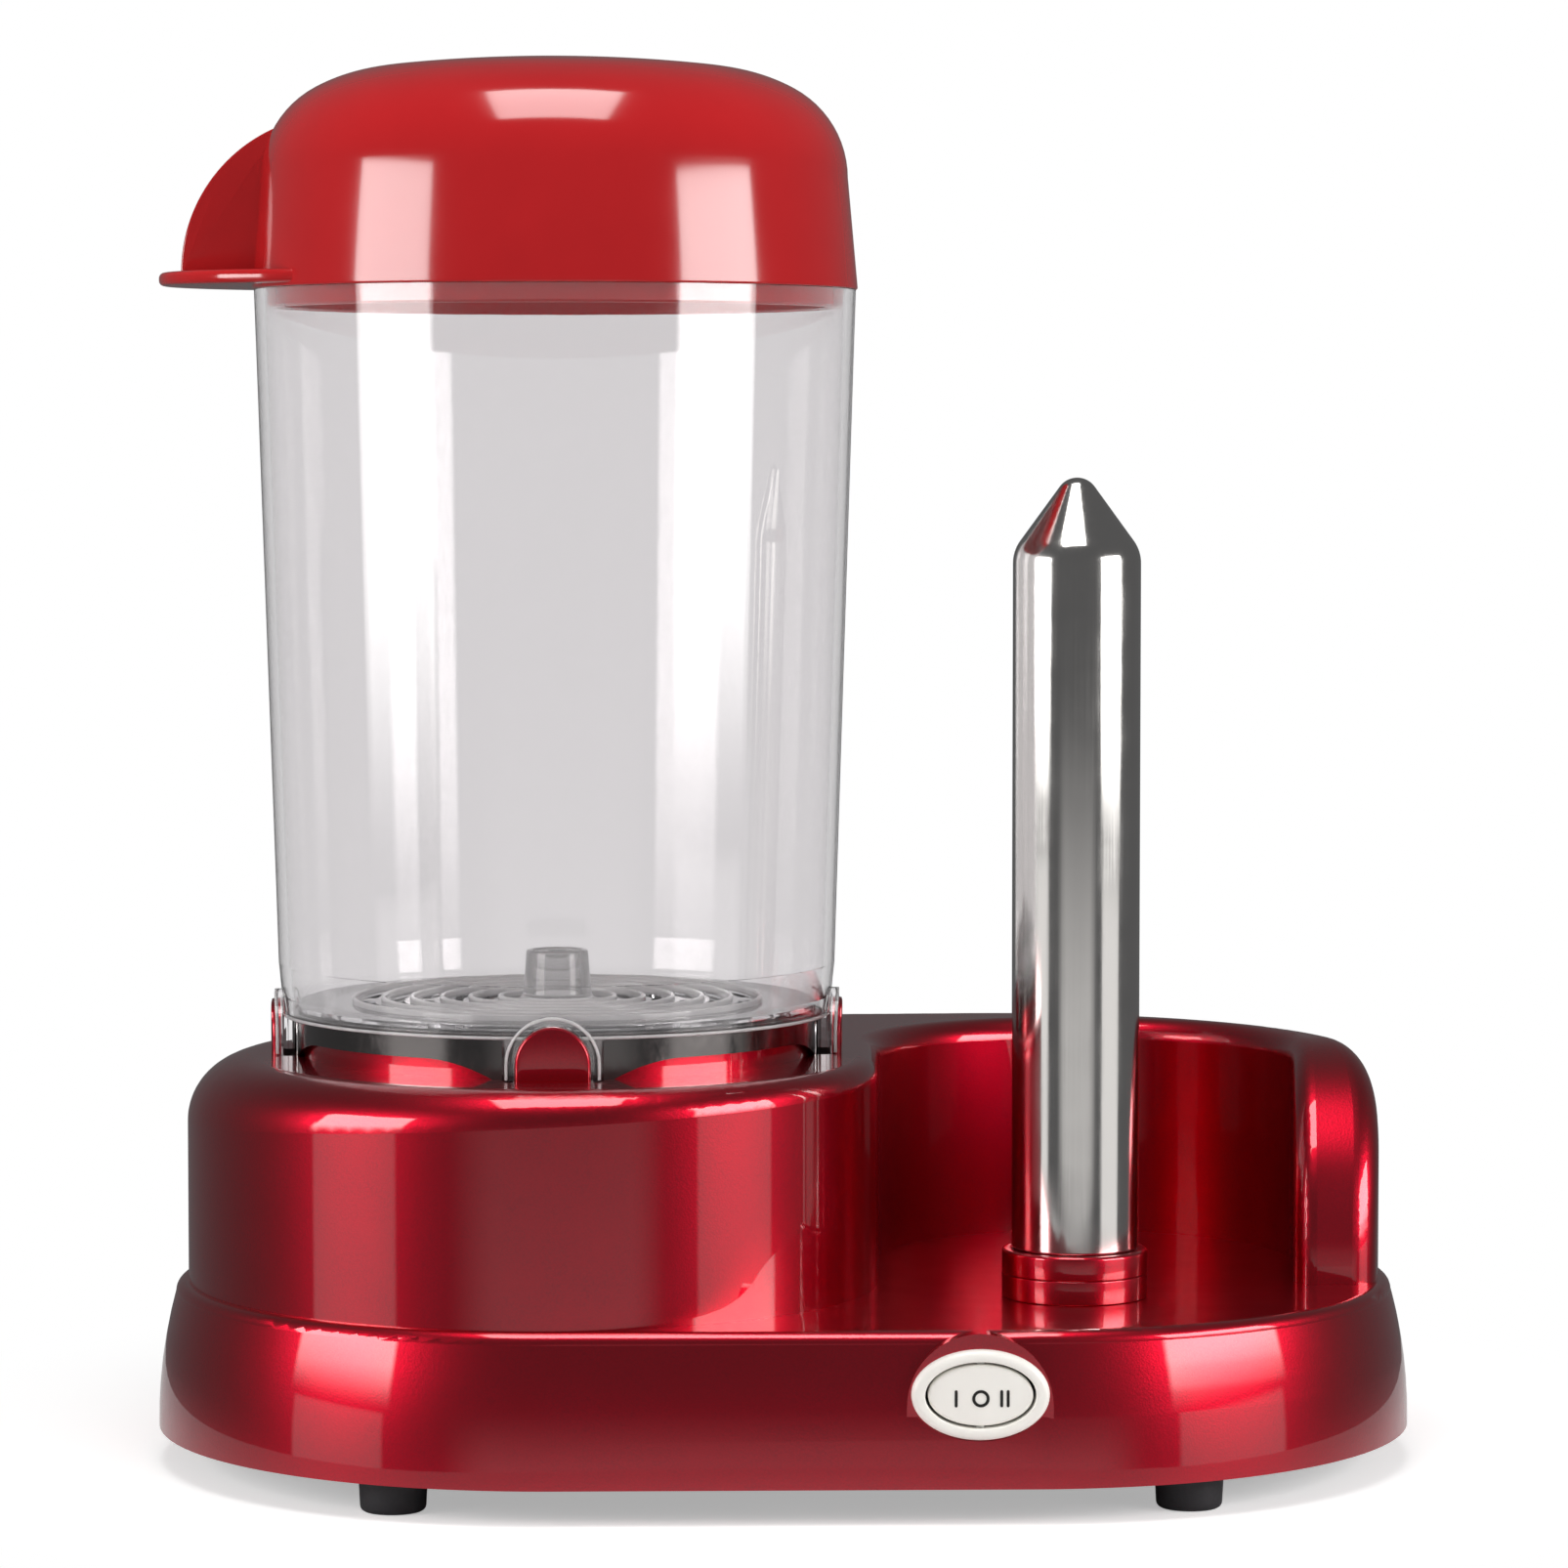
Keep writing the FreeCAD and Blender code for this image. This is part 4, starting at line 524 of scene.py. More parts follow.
def extrude_faces(bm, way):
    """Give the flat faces a thickness along the way."""
    made = bmesh.ops.extrude_face_region(bm, geom=bm.faces[:], use_keep_orig=True)
    bmesh.ops.translate(bm, verts=of_kind(made["geom"], BMVert), vec=way)


def extrude_loop(bm, loop, way):
    """Extrude a loop of edges along the way; returns the new loop's vertices and edges."""
    made = bmesh.ops.extrude_edge_only(bm, edges=loop)
    fresh = of_kind(made["geom"], BMVert)
    bmesh.ops.translate(bm, verts=fresh, vec=way)
    edges = of_kind(made["geom"], BMEdge)
    return fresh, [edge for edge in edges if set(fresh).issuperset(edge.verts)]


def oval_shell(bm, centre, rings, capped=False):
    """Draw an upright oval and extrude it through rings of (half width, half height, y)."""
    half_width, half_height, y = rings[0]
    bmesh.ops.create_circle(bm, cap_ends=capped, segments=96, radius=1.0,
                            matrix=Matrix.Rotation(math.pi / 2, 4, "X"))
    loop = bm.edges[:]
    bmesh.ops.scale(bm, verts=bm.verts, vec=(half_width, 1.0, half_height))
    bmesh.ops.translate(bm, verts=bm.verts, vec=(0, y, 0))
    for before, after in zip(rings, rings[1:]):
        fresh, loop = extrude_loop(bm, loop, (0, after[2] - before[2], 0))
        bmesh.ops.scale(bm, verts=fresh,
                        vec=(after[0] / before[0], 1.0, after[1] / before[1]))
    if capped:
        bmesh.ops.contextual_create(bm, geom=loop)
    bmesh.ops.translate(bm, verts=bm.verts, vec=(centre.x, 0, centre.z))


def add_shape(bm, part):
    """Move the shape of one bmesh into another."""
    mesh = bpy.data.meshes.new("part")
    part.to_mesh(mesh)
    part.free()
    bm.from_mesh(mesh)
    bpy.data.meshes.remove(mesh)


def make_piece(name, bm, finish, body, replaced=(), crease=35.0):
    """Turn a bmesh into a piece of the toaster that rides on a body.

    Edges that turn by more degrees than the crease look sharp.
    """
    bmesh.ops.remove_doubles(bm, verts=bm.verts, dist=0.002 * MM)
    bmesh.ops.recalc_face_normals(bm, faces=bm.faces)
    mesh = bpy.data.meshes.new(name)
    bm.to_mesh(mesh)
    bm.free()
    mesh.polygons.foreach_set("use_smooth", [True] * len(mesh.polygons))
    mesh.set_sharp_from_angle(angle=math.radians(crease))
    mesh.materials.append(finish)
    piece = bpy.data.objects.new(name, mesh)
    bpy.context.scene.collection.objects.link(piece)
    if replaced:
        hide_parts(*replaced)
    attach(piece, body)


def four_round_drum(name, bm, finish, body, crease):
    """Bend a flat shape round the drum's axis and make four pieces of it.

    It stands in front of the axis, and each of its vertices keeps its own radius.
    """
    for vert in bm.verts:
        vert.co.y = -math.sqrt(vert.co.y ** 2 - vert.co.x ** 2)
    for side, degrees in (("front", 0), ("right", 90), ("back", 180), ("left", 270)):
        copy = bm.copy()
        bmesh.ops.rotate(copy, verts=copy.verts, cent=ORIGIN,
                         matrix=Matrix.Rotation(math.radians(degrees), 3, "Z"))
        bmesh.ops.translate(copy, verts=copy.verts, vec=DRUM)
        make_piece(name + "_" + side, copy, finish, body, crease=crease)
    bm.free()


# ---------------------------------------------------------------- the stage


def stage_white(name, shade, glow, mirrored):
    """Pale stage paper that the camera, gloss and glass see as white away from the toaster.

    In the sheet's middle it is lit paper, so it keeps the shadow; it turns plain white
    before its edges, which lie one unit from its middle. Gloss sees it at the mirrored
    brightness there.
    """
    material, tree, place = new_material(name)
    reach = add_node(tree, "ShaderNodeVectorMath", {0: place}, operation="LENGTH")
    away = add_node(tree, "ShaderNodeMapRange", {
        "Value": reach.outputs["Value"], "From Min": 0.5, "From Max": 0.95},
        interpolation_type="SMOOTHSTEP")
    rays = add_node(tree, "ShaderNodeLightPath")
    clear = add_node(tree, "ShaderNodeMath", {
        0: rays.outputs["Is Camera Ray"], 1: rays.outputs["Is Transmission Ray"]},
        operation="MAXIMUM")
    seen = add_node(tree, "ShaderNodeMath", {
        0: clear.outputs[0], 1: rays.outputs["Is Glossy Ray"]}, operation="MAXIMUM")
    mix = add_node(tree, "ShaderNodeMath", {0: seen.outputs[0], 1: away.outputs[0]},
                   operation="MULTIPLY")
    paper = add_node(tree, "ShaderNodeBsdfDiffuse", {"Color": linear(shade)})
    lift = add_node(tree, "ShaderNodeEmission", {"Color": WHITE, "Strength": glow})
    lifted = add_node(tree, "ShaderNodeAddShader", {0: paper.outputs[0], 1: lift.outputs[0]})
    near = add_node(tree, "ShaderNodeMixShader",
                    {0: clear.outputs[0], 1: paper.outputs[0], 2: lifted.outputs[0]})
    level = add_node(tree, "ShaderNodeMapRange",
                     {"Value": clear.outputs[0], "To Min": mirrored, "To Max": 1.0})
    white = add_node(tree, "ShaderNodeEmission",
                     {"Color": WHITE, "Strength": level.outputs[0]})
    return surfaced(material, add_node(tree, "ShaderNodeMixShader", {
        0: mix.outputs[0], 1: near.outputs[0], 2: white.outputs[0]}))


def plain_world(strength):
    """A grey room that the camera and clear parts see as white."""
    world = bpy.data.worlds.new("studio_room")
    world.use_nodes = True
    tree = world.node_tree
    tree.nodes.clear()
    rays = add_node(tree, "ShaderNodeLightPath")
    room = add_node(tree, "ShaderNodeBackground",
                    {"Color": linear("F2F2F4"), "Strength": strength})
    white = add_node(tree, "ShaderNodeBackground", {"Color": WHITE, "Strength": 1.0})
    seen = add_node(tree, "ShaderNodeMath", {
        0: rays.outputs["Is Camera Ray"], 1: rays.outputs["Is Transmission Ray"]},
        operation="MAXIMUM")
    both = add_node(tree, "ShaderNodeMixShader", {
        0: seen.outputs[0], 1: room.outputs[0], 2: white.outputs[0]})
    add_node(tree, "ShaderNodeOutputWorld", {"Surface": both.outputs[0]})
    bpy.context.scene.world = world


def softbox(name, place, aim, size, radiance, side_fade=0.06, foot_fade=0.06,
            head_fade=0.06):
    """A rectangular lamp, given by how bright its face looks, that fades at its edges.

    The fades are parts of its width and height.
    """
    lamp = bpy.data.lights.new(name, "AREA")
    lamp.shape = "RECTANGLE"
    lamp.size, lamp.size_y = size
    lamp.energy = radiance * math.pi * size[0] * size[1]
    lamp.color = (1.0, 0.985, 0.975)  # a trace warmer than white
    lamp.use_nodes = True
    tree = lamp.node_tree
    tree.nodes.clear()
    surface = add_node(tree, "ShaderNodeNewGeometry")
    sides = add_node(tree, "ShaderNodeSeparateXYZ", {0: surface.outputs["Parametric"]})
    level = 1.0
    for axis, low, high in (("X", side_fade, side_fade), ("Y", foot_fade, head_fade)):
        for start, end in ((0.0, low), (1.0, 1.0 - high)):
            edge = add_node(tree, "ShaderNodeMapRange", {
                "Value": sides.outputs[axis], "From Min": start, "From Max": end},
                interpolation_type="SMOOTHSTEP")
            level = add_node(tree, "ShaderNodeMath", {0: level, 1: edge.outputs[0]},
                             operation="MULTIPLY").outputs[0]
    glow = add_node(tree, "ShaderNodeEmission", {"Strength": level})
    add_node(tree, "ShaderNodeOutputLight", {"Surface": glow.outputs[0]})
    obj = bpy.data.objects.new(name, lamp)
    turn = (Vector(aim) - Vector(place)).to_track_quat("-Z", "Y").to_matrix().to_4x4()
    obj.matrix_world = Matrix.Translation(place) @ turn
    obj.visible_camera = False
    bpy.context.scene.collection.objects.link(obj)


class TOASTER_OT_stage(bpy.types.Operator):
    """Lay the paper sheet, set the softboxes and the room light, and place the camera"""
    bl_idname = "toaster.stage"
    bl_label = "Stage and camera"

    def execute(self, context):
        values = settings().stage
        self.sheet()
        plain_world(values.room_light)
        self.lamps(values)
        self.camera(values)
        context.scene.view_settings.view_transform = "Standard"
        return {"FINISHED"}

    def sheet(self):
        """A small round sheet under the toaster."""
        radius, back = 0.22, 0.03
        bm = bmesh.new()
        bmesh.ops.create_circle(bm, cap_ends=True, segments=96, radius=1.0)
        mesh = bpy.data.meshes.new("paper_sheet")
        bm.to_mesh(mesh)
        bm.free()
        mesh.materials.append(stage_white("stage_paper", "F4F4F4", 0.40, 0.5))
        paper = bpy.data.objects.new("paper_sheet", mesh)
        paper.location = (0, back, 0)
        paper.scale = (radius, radius, 1)
        bpy.context.scene.collection.objects.link(paper)

    def lamps(self, values):
        """A softbox on each side with a dim one below it, a low fill and one overhead."""
        away, level, low_level = 0.62, 0.22, -0.06
        for name, degrees, width, gain in (("side_left", -62.5, 0.34, 1.0),
                                           ("side_right", 61.0, 0.41, 1.1)):
            turn = math.radians(degrees)
            x, y = away * math.sin(turn), -away * math.cos(turn)
            softbox(name, (x, y, level), aim=(0, 0, level), size=(width, 0.33),
                    radiance=values.side_radiance * gain, foot_fade=0.4)
            softbox(name + "_low", (x, y, low_level), aim=(0, 0, low_level),
                    size=(width * 0.9, 0.24), radiance=values.low_radiance, foot_fade=0.2)
        softbox("front_low", (0.03, -0.9, low_level), aim=(0.03, 0, low_level),
                size=(1.3, 0.40), radiance=values.front_radiance, side_fade=0.25,
                head_fade=0.7)
        softbox("top_front", (-0.05, -0.232, 1.122), aim=(-0.05, 0.188, 0.372),
                size=(0.56, 0.7), radiance=values.top_radiance)

    def camera(self, values):
        """Look at the toaster's middle from its front."""
        lens = bpy.data.cameras.new("camera")
        lens.sensor_width = 36.0
        lens.lens = values.lens
        lens.clip_end = 20.0
        camera = bpy.data.objects.new("camera", lens)
        rise, turn = values.camera_rise, values.camera_turn
        away = math.cos(rise) * values.camera_distance
        camera.location = (away * math.sin(turn), -away * math.cos(turn),
                           values.aim_height + values.camera_distance * math.sin(rise))
        aim = Vector((0, 0, values.aim_height))
        camera.rotation_euler = (aim - camera.location).to_track_quat("-Z", "Y").to_euler()
        bpy.context.scene.collection.objects.link(camera)
        bpy.context.scene.camera = camera


# ---------------------------------------------------------------- pieces


class TOASTER_OT_frame_finishes(bpy.types.Operator):
    """Give every carried-over node the finish of its material slot"""
    bl_idname = "toaster.frame_finishes"
    bl_label = "Finishes of the frame"

    def execute(self, context):
        for part in frame["record"]["subparts"]:
            finish = finish_of(FINISHES[part["material_slot"]])
            for slot in NODES[part["node"]].material_slots:
                slot.material = finish
        return {"FINISHED"}


class TOASTER_OT_tongues(bpy.types.Operator):
    """Fit the four round-edged locking tongues over the drum's tongues"""
    bl_idname = "toaster.tongues"
    bl_label = "Locking tongues"

    def execute(self, context):
        inner, thickness, half_width = 59.7 * MM, 1.8 * MM, 7.75 * MM
        skin, sink, edge_round, flat = 0.12 * MM, 0.6 * MM, 0.7 * MM, 0.001 * MM
        strips = 12
        foot = HOUSING_TOP - sink
        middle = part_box("upper_housing")[1].z - half_width
        outer = inner + thickness + skin
        bm = bmesh.new()
        arch = Outline(bm, half_width + skin, foot, -outer)
        arch.line(half_width + skin, middle).arc(0.0, middle, math.pi, 24)
        arch.line(-half_width - skin, foot).close()
        bmesh.ops.contextual_create(bm, geom=bm.edges)
        extrude_faces(bm, (0, thickness + skin * 2, 0))
        round_edges(bm, [edge for edge in bm.edges if all(
            abs(vert.co.y + outer) < flat for vert in edge.verts)], edge_round)
        for number in range(1, strips):
            x = (number / strips * 2 - 1) * half_width
            bmesh.ops.bisect_plane(bm, geom=bm.verts[:] + bm.edges[:] + bm.faces[:],
                                   plane_co=(x, 0, 0), plane_no=X_AXIS, dist=1e-7)
        four_round_drum("tongue", bm, finish_of(candy_lacquer), "base", 35.0)
        return {"FINISHED"}


def lid_arcs(radius, values):
    """The dome's corner, shoulder and crown arcs: centre, radius and turn of each."""
    low, high = values.corner_slope, values.crown_slope
    corner_x = radius - values.draft - values.corner_arc
    curve_x = corner_x + (values.corner_arc - values.curve_arc) * math.sin(low)
    crown = (curve_x + values.curve_arc * math.sin(high)) / math.sin(high)
    crown_z = LID_TOP - crown
    curve_z = crown_z + (crown - values.curve_arc) * math.cos(high)
    corner_z = curve_z + (values.curve_arc - values.corner_arc) * math.cos(low)
    return [(corner_x, corner_z, values.corner_arc, math.pi / 2 - low),
            (curve_x, curve_z, values.curve_arc, low - high),
            (0.0, crown_z, crown, high)]


class TOASTER_OT_lid(bpy.types.Operator):
    """Spin the lid's dome and add its handle plate and fin"""
    bl_idname = "toaster.lid"
    bl_label = "Lid with handle"

    def execute(self, context):
        values = settings().lid
        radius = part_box("container_shell")[1].y + values.overhang
        finish = finish_of(gloss_red_abs)
        self.dome(values, radius, finish)
        plate_foot = CONTAINER_TOP + values.plate_lift
        self.plate(values, radius, plate_foot, finish)
        self.fin(values, radius, plate_foot + values.plate_thickness)
        return {"FINISHED"}

    def dome(self, values, radius, finish):
        """The dome with the spigot that sits inside the container."""
        container_wall, rim_round, arc_steps = 2.2 * MM, 0.5 * MM, 12
        spigot_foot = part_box("lid")[0].z
        spigot_radius = (radius - values.overhang - container_wall
                         - values.spigot_clearance)
        spigot_inner = spigot_radius - values.spigot_wall
        ledge = CONTAINER_TOP + values.wall
        arcs = lid_arcs(radius, values)
        bm = bmesh.new()
        dome = Outline(bm, 0.0, LID_TOP - values.wall)
        for x, z, _, turn in reversed(arcs):
            dome.arc(x, z, -turn, arc_steps)
        dome.line(radius - values.wall, ledge).line(spigot_inner, ledge)
        dome.line(spigot_inner, spigot_foot + rim_round)
        dome.line(spigot_inner + rim_round, spigot_foot)
        dome.line(spigot_radius - rim_round, spigot_foot)
        dome.line(spigot_radius, spigot_foot + rim_round).line(spigot_radius, CONTAINER_TOP)
        dome.line(radius - rim_round, CONTAINER_TOP)
        dome.arc(radius - rim_round, CONTAINER_TOP + rim_round, math.pi / 2, 4)
        corner_x, corner_z, corner, _ = arcs[0]
        dome.line(corner_x + corner, corner_z)
        for x, z, _, turn in arcs:
            dome.arc(x, z, turn, arc_steps)
        lathe(bm, DRUM, 192)
        make_piece("lid_dome", bm, finish, "lid_body", ["lid"])

    def plate(self, values, radius, foot, finish):
        """The handle's thin round plate, which ends inside the dome's wall."""
        bite_share, weld, edge_round = 0.6, 0.01 * MM, 1.1 * MM
        root = radius - values.wall * bite_share
        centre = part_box("lid")[0].x + values.plate_radius - DRUM.x
        # where the plate's circle meets the root circle round the lid's axis
        along = (root ** 2 - values.plate_radius ** 2 - centre ** 2) / (2 * -centre)
        half_turn = math.acos(along / values.plate_radius)
        across = values.plate_radius * math.sin(half_turn)
        bm = bmesh.new()
        plate = Outline(bm, centre - along, across)
        plate.arc(centre, 0.0, 2 * half_turn, 40)
        plate.arc(0.0, 0.0, -2 * math.asin(across / root), 16)
        bmesh.ops.remove_doubles(bm, verts=bm.verts, dist=weld)
        bmesh.ops.contextual_create(bm, geom=bm.edges)
        bmesh.ops.rotate(bm, verts=bm.verts, cent=ORIGIN,
                         matrix=Matrix.Rotation(-math.pi / 2, 3, "X"))
        self.thicken(bm, Z_AXIS * values.plate_thickness, edge_round)
        bmesh.ops.translate(bm, verts=bm.verts, vec=DRUM + Z_AXIS * foot)
        make_piece("lid_handle_plate", bm, finish, "lid_body", ["lid"])

    def fin(self, values, radius, top):
        """The upright fin on the plate; its inner edge runs up inside the dome's wall."""
        sink, edge_round, bite = 0.4 * MM, 0.7 * MM, values.wall / 2
        centre = -values.fin_offset
        corner_x, corner_z, corner, _ = lid_arcs(radius, values)[0]
        corner_x = -corner_x
        meets = intersect_sphere_sphere_2d((centre, top), values.fin_radius,
                                           (corner_x, corner_z), corner - bite)
        meet = min(meets, key=lambda point: point.x)
        start = math.atan2(meet.y - top, meet.x - centre)
        land = math.atan2(meet.y - corner_z, meet.x - corner_x)
        bm = bmesh.new()
        fin = Outline(bm, bite - radius, top - sink)
        fin.line(centre - values.fin_radius, top - sink).line(centre - values.fin_radius, top)
        fin.arc(centre, top, start - math.pi, 28)
        fin.arc(corner_x, corner_z, math.pi - land, 6).close()
        bmesh.ops.contextual_create(bm, geom=bm.edges)
        way = Y_AXIS * values.plate_thickness
        bmesh.ops.translate(bm, verts=bm.verts, vec=DRUM - way / 2)
        self.thicken(bm, way, edge_round)
        # the fin takes the darker copy of the lid's red: painted shade
        make_piece("lid_handle_fin", bm, finish_of(painted_shade_red_abs), "lid_body", ["lid"])

    def thicken(self, bm, way, radius):
        """Extrude the flat face along the way and round both of its outlines."""
        nearly_along = 0.99
        extrude_faces(bm, way)
        bmesh.ops.recalc_face_normals(bm, faces=bm.faces)
        broad = [face for face in bm.faces
                 if abs(face.normal.dot(way.normalized())) > nearly_along]
        round_edges(bm, list({edge for face in broad for edge in face.edges}), radius)


class TOASTER_OT_tray(bpy.types.Operator):
    """Mould the clear steam tray with its rings of slots, low lips and hollow post"""
    bl_idname = "toaster.tray"
    bl_label = "Steam tray"

    def execute(self, context):
        values = settings().tray
        post_foot = 9.5 * MM
        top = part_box("steam_tray")[0].z + values.thickness
        self.disc(values, post_foot, top)
        self.lips(values, top)
        self.post(post_foot, top)
        return {"FINISHED"}

    def make_moulding(self, name, bm, finish):
        make_piece(name, bm, finish, "steam_tray_body", ["steam_tray"], 30.0)

    def disc(self, values, post_foot, top):
        """The flat disc round the post; each ring of slots is cut out, bar its bridges."""
        border, steps = 1.2 * MM, 180
        radius = half_size_of("steam_tray").x
        half_slot = values.slot_width / 2
        rims = []
        for ring in range(values.rings):
            middle = values.first_slot + values.slot_pitch * ring
            rims += [middle - half_slot, middle + half_slot]
        bm = bmesh.new()
        line = Outline(bm, post_foot, top)
        for rim in rims + [radius - border, radius]:
            line.line(rim, top)
        lathe(bm, ORIGIN, steps)
        half_bridge = math.tau / steps * 2  # a bridge is four faces wide
        pitch = math.tau / values.bridges
        doomed = []
        for face in bm.faces:
            centre = face.calc_center_median()
            reach = math.hypot(centre.x, centre.y) - values.first_slot
            ring = round(reach / values.slot_pitch)
            in_band = (0 <= ring < values.rings
                       and abs(reach - ring * values.slot_pitch) < half_slot)
            turn = (math.atan2(centre.y, centre.x) + ring * pitch / 2) % pitch
            if in_band and half_bridge < turn < pitch - half_bridge:
                doomed.append(face)
        bmesh.ops.delete(bm, geom=doomed, context="FACES")
        extrude_faces(bm, (0, 0, -values.thickness))
        bmesh.ops.translate(bm, verts=bm.verts, vec=DRUM)
        self.make_moulding("steam_tray_disc", bm, finish_of(tray_styrene))

    def lips(self, values, top):
        """Low round-topped rings that stand between the rings of slots."""
        half, sink = 0.55 * MM, 0.2 * MM
        shoulder = top + values.lip - half
        bm = bmesh.new()
        for ring in range(values.rings + 1):
            reach = values.first_slot + values.slot_pitch * (ring - 0.5)
            if reach + half > half_size_of("steam_tray").x:
                continue
            part = bmesh.new()
            lip = Outline(part, reach + half, top - sink)
            lip.line(reach + half, shoulder).arc(reach, shoulder, math.pi, 6)
            lip.line(reach - half, top - sink).close()
            lathe(part, DRUM, 120)
            add_shape(bm, part)
        # the lips take the whitened clear finish: painted highlights
        self.make_moulding("steam_tray_lips", bm, finish_of(painted_highlight_styrene))

    def post(self, post_foot, top):
        """The hollow lifting post in the tray's middle, drawn in as it rises."""
        head, bore, floor, fillet, edge = 6.7 * MM, 5.2 * MM, 1.0 * MM, 2.2 * MM, 0.6 * MM
        low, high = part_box("steam_tray")
        bm = bmesh.new()
        wall = Outline(bm, 0.0, low.z)
        wall.line(post_foot, low.z).line(post_foot, top)
        wall.arc(post_foot, top + fillet, -math.pi / 2, 6)
        wall.line(head, high.z - edge).arc(head - edge, high.z - edge, math.pi / 2, 4)
        wall.line(bore + edge, high.z).arc(bore + edge, high.z - edge, math.pi / 2, 4)
        wall.line(bore, top + floor).line(0.0, top + floor)
        lathe(bm, DRUM, 96)
        self.make_moulding("steam_tray_post", bm, finish_of(post_styrene))


class TOASTER_OT_container_edges(bpy.types.Operator):
    """Add the moulded edges round the container's foot and over its four tongues, in a whitened
    clear finish that paints their highlights
    """
    bl_idname = "toaster.container_edges"
    bl_label = "Container edges"

    def execute(self, context):
        foot_radius, foot_level, stand = 59.2 * MM, 96.0 * MM, 1.7 * MM
        half_width, clearance = 9.9 * MM, 2.15 * MM
        bead, sides, crease = 0.35 * MM, 10, 40.0
        # the whitened clear finish paints the edges' highlights
        finish = finish_of(painted_highlight_styrene)
        bm = bmesh.new()
        place = Matrix.Translation((foot_radius - bead, 0, foot_level + bead))
        bmesh.ops.create_circle(bm, segments=sides, radius=bead,
                                matrix=place @ Matrix.Rotation(math.pi / 2, 4, "X"))
        lathe(bm, DRUM, 160)
        make_piece("container_foot_edge", bm, finish, "container",
                   crease=crease)
        low = HOUSING_TOP + bead
        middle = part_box("upper_housing")[1].z + clearance - half_width
        reach = foot_radius + stand - bead
        bm = bmesh.new()
        place = Matrix.Translation((half_width - bead, -reach, low))
        bmesh.ops.create_circle(bm, cap_ends=True, segments=sides, radius=bead, matrix=place)
        loop = extrude_loop(bm, bm.edges[:], (0, 0, middle - low))[1]
        made = bmesh.ops.spin(bm, geom=loop, cent=(0, -reach, middle), axis=-Y_AXIS,
                              angle=math.pi, steps=24)
        extrude_loop(bm, of_kind(made["geom_last"], BMEdge), (0, 0, low - middle))
        bmesh.ops.holes_fill(bm, edges=bm.edges[:], sides=sides)
        four_round_drum("rib_edge", bm, finish, "container", crease)
        return {"FINISHED"}


class TOASTER_OT_spike(bpy.types.Operator):
    """Spin the steel bun spike and the red collar that it stands in"""
    bl_idname = "toaster.spike"
    bl_label = "Bun spike and collar"

    def execute(self, context):
        values = settings().spike
        low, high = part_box("spike_tube")
        radius = half_size_of("spike_tube").x
        collar_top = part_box("spike_ring")[1].z
        foot_round, bore_room = 0.6 * MM, 0.2 * MM
        lean = values.cone_angle
        bend = values.shoulder_level - values.shoulder_arc * math.sin(lean) / (
            1 + math.cos(lean))
        tip = high.z - values.tip_arc
        bm = bmesh.new()
        tube = Outline(bm, values.neck_radius - values.wall, low.z)
        tube.line(values.neck_radius, low.z).line(values.neck_radius, collar_top)
        tube.line(radius - foot_round, collar_top)
        tube.arc(radius - foot_round, collar_top + foot_round, math.pi / 2, 4)
        tube.line(radius, bend).arc(radius - values.shoulder_arc, bend, lean, 10)
        tube.line(values.tip_arc * math.cos(lean), tip + values.tip_arc * math.sin(lean))
        tube.arc(0.0, tip, math.pi / 2 - lean, 10)
        lathe(bm, SPIKE, 160)
        make_piece("spike_sleeve", bm, finish_of(brushed_stainless), "base",
                   ["spike_tube"], 30.0)
        self.collar(values.neck_radius + bore_room, collar_top)
        return {"FINISHED"}

    def collar(self, bore, top):
        """Two lacquered rings with a fine seam between them."""
        foot_round, bore_round = 0.3 * MM, 0.4 * MM
        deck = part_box("spike_collar")[0].z
        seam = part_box("spike_ring")[0].z
        for name, node, low, high, edge in (
                ("collar_foot", "spike_collar", deck, seam, 0.35 * MM),
                ("collar_cap", "spike_ring", seam, top, 0.8 * MM)):
            radius = half_size_of(node).x
            bm = bmesh.new()
            rounded_section(bm, [(bore, low, 0.0), (radius, low, foot_round),
                                 (radius, high, edge), (bore, high, bore_round)])
            lathe(bm, SPIKE, 128)
            make_piece(name, bm, finish_of(candy_lacquer), "base", [node])


def rounded_rings(half_width, half_height, front, edge):
    """Rings of an oval's rounded front edge, from its side to its face."""
    steps = 6
    rings = []
    for number in range(steps + 1):
        turn = math.pi / 2 * number / steps
        inset = edge * (1 - math.cos(turn))
        rings.append((half_width - inset, half_height - inset,
                      front + edge * (1 - math.sin(turn))))
    return rings


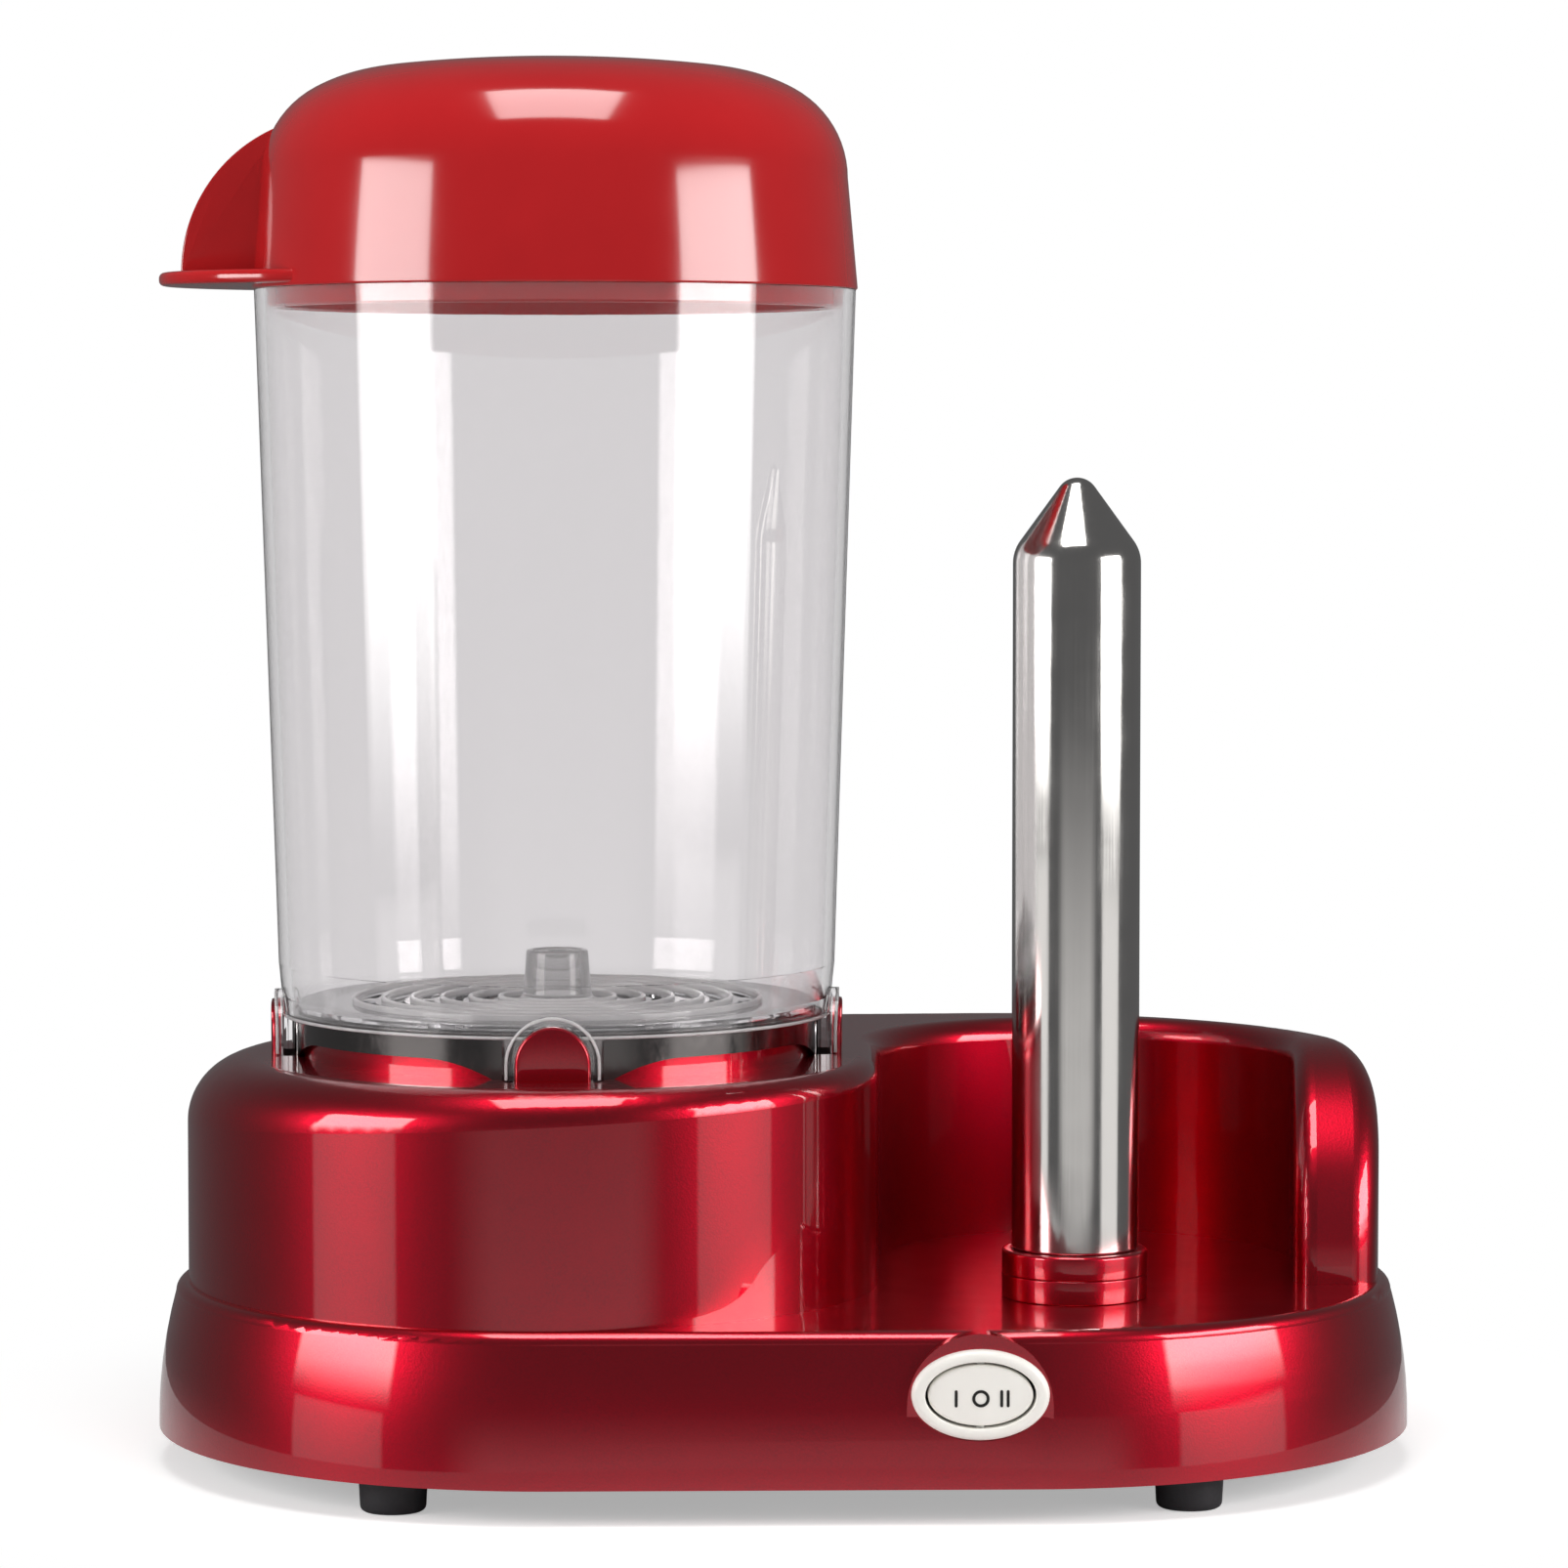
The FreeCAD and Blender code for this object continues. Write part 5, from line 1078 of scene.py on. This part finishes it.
class TOASTER_OT_switch(bpy.types.Operator):
    """Mould the cream oval switch: its domed bezel, its rocker and the I O II marks"""
    bl_idname = "toaster.switch"
    bl_label = "Switch"

    def execute(self, context):
        values = settings().switch
        finish = finish_of(cream_abs)
        centre = middle_of("switch_bezel")
        self.bezel(values, centre, finish)
        half_width, _, half_height = half_size_of("switch_rocker")
        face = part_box("switch_rocker")[0].y
        edge, depth = 0.7 * MM, 3.5 * MM
        bm = bmesh.new()
        rings = rounded_rings(half_width, half_height, face, edge)[::-1]
        oval_shell(bm, centre, rings + [(half_width, half_height, face + depth)], True)
        make_piece("rocker_cap", bm, finish, "rocker", ["switch_rocker"])
        self.marks(values, centre, face)
        return {"FINISHED"}

    def bezel(self, values, centre, finish):
        """The domed rim, its small inner lip and the walled opening behind it."""
        stand, edge, lip, wall = 2.2 * MM, 1.5 * MM, 0.35 * MM, 1.3 * MM
        low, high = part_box("switch_bezel")
        half_width, _, half_height = half_size_of("switch_bezel")
        rocker = half_size_of("switch_rocker")
        side = (half_width, half_height, low.y + stand)
        rings = [side] + rounded_rings(half_width, half_height, low.y, edge)
        # the flat, the lip's round inner edge, and the opening's wall behind it
        for room, y in ((lip * 1.6, low.y + 0.02 * MM), (lip * 0.5, low.y + lip * 0.4),
                        (0.0, low.y + lip * 1.2), (0.0, high.y), (wall, high.y),
                        (wall, low.y + stand)):
            rings.append((rocker.x + values.gap + room, rocker.z + values.gap + room, y))
        bm = bmesh.new()
        oval_shell(bm, centre, rings + [side])
        make_piece("switch_surround", bm, finish, "base", ["switch_bezel"])

    def marks(self, values, centre, face):
        """Off in the middle and the two on positions, in flat print with round ends."""
        stand, drop, weld = 0.08 * MM, 0.6 * MM, 0.001 * MM
        bars = (-5.0 * MM, 4.2 * MM, 5.5 * MM)
        half, outer = values.stroke / 2, values.mark_height / 2
        inner = outer - values.stroke
        bm = bmesh.new()
        for x in bars:
            bar = Outline(bm, x + half, half - outer, -stand)
            bar.line(x + half, outer - half).arc(x, outer - half, math.pi, 8)
            bar.line(x - half, half - outer).arc(x, half - outer, math.pi, 8)
        bmesh.ops.remove_doubles(bm, verts=bm.verts, dist=weld)
        bmesh.ops.edgeloop_fill(bm, edges=bm.edges)
        extrude_faces(bm, (0, stand * 2, 0))
        ring = bmesh.new()
        oval_shell(ring, ORIGIN, [(outer, outer, stand), (outer, outer, -stand),
                                  (inner, inner, -stand), (inner, inner, stand),
                                  (outer, outer, stand)])
        add_shape(bm, ring)
        bmesh.ops.translate(bm, verts=bm.verts, vec=(centre.x, face, centre.z - drop))
        make_piece("switch_print", bm, finish_of(printed_black), "rocker",
                   ["switch_marks"])


class TOASTER_OT_feet(bpy.types.Operator):
    """Mould the four rubber feet, each with a round edge and a screw well"""
    bl_idname = "toaster.feet"
    bl_label = "Rubber feet"

    def execute(self, context):
        well, bore, well_top, taper = 3.2 * MM, 1.6 * MM, 4.8 * MM, 0.5 * MM
        well_round, foot_round, top_round = 0.4 * MM, 1.2 * MM, 0.3 * MM
        for name in ("front_left_foot", "front_right_foot", "back_left_foot",
                     "back_right_foot"):
            low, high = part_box(name)
            radius = half_size_of(name).x
            bm = bmesh.new()
            rounded_section(bm, [
                (well, low.z, well_round), (radius - taper, low.z, foot_round),
                (radius, high.z, top_round), (bore, high.z, 0.0), (bore, well_top, 0.0),
                (well, well_top, 0.0)])
            lathe(bm, Vector((*middle_of(name).xy, 0)), 72)
            make_piece(name + "_pad", bm, finish_of(moulded_rubber), "base",
                       [name])
        return {"FINISHED"}


class TOASTER_PT_panel(bpy.types.Panel):
    """Lists the operators and the settings in the sidebar"""
    bl_idname = "TOASTER_PT_panel"
    bl_label = "Hot Dog Toaster"
    bl_space_type = "VIEW_3D"
    bl_region_type = "UI"
    bl_category = "Toaster"

    def draw(self, context):
        for operator in OPERATORS:
            self.layout.operator(operator.bl_idname)
        for group in ToasterSettings.__annotations__:
            box = self.layout.box()
            values = getattr(context.scene.toaster, group)
            box.label(text=group.capitalize())
            for name in values.__annotations__:
                box.prop(values, name)


OPERATORS = (
    TOASTER_OT_stage,
    TOASTER_OT_frame_finishes,
    TOASTER_OT_tongues,
    TOASTER_OT_lid,
    TOASTER_OT_tray,
    TOASTER_OT_container_edges,
    TOASTER_OT_spike,
    TOASTER_OT_switch,
    TOASTER_OT_feet,
)
CLASSES = (StageSettings, LacquerSettings, LidSettings, TraySettings, SpikeSettings,
           SwitchSettings, ToasterSettings) + OPERATORS + (TOASTER_PT_panel,)


def register():
    for item in CLASSES:
        bpy.utils.register_class(item)
    bpy.types.Scene.toaster = PointerProperty(type=ToasterSettings)


def unregister():
    del bpy.types.Scene.toaster
    for item in reversed(CLASSES):
        bpy.utils.unregister_class(item)


def main():
    register()
    for operator in OPERATORS:
        space, name = operator.bl_idname.split(".")
        getattr(getattr(bpy.ops, space), name)()


if __name__ == "__main__":
    main()
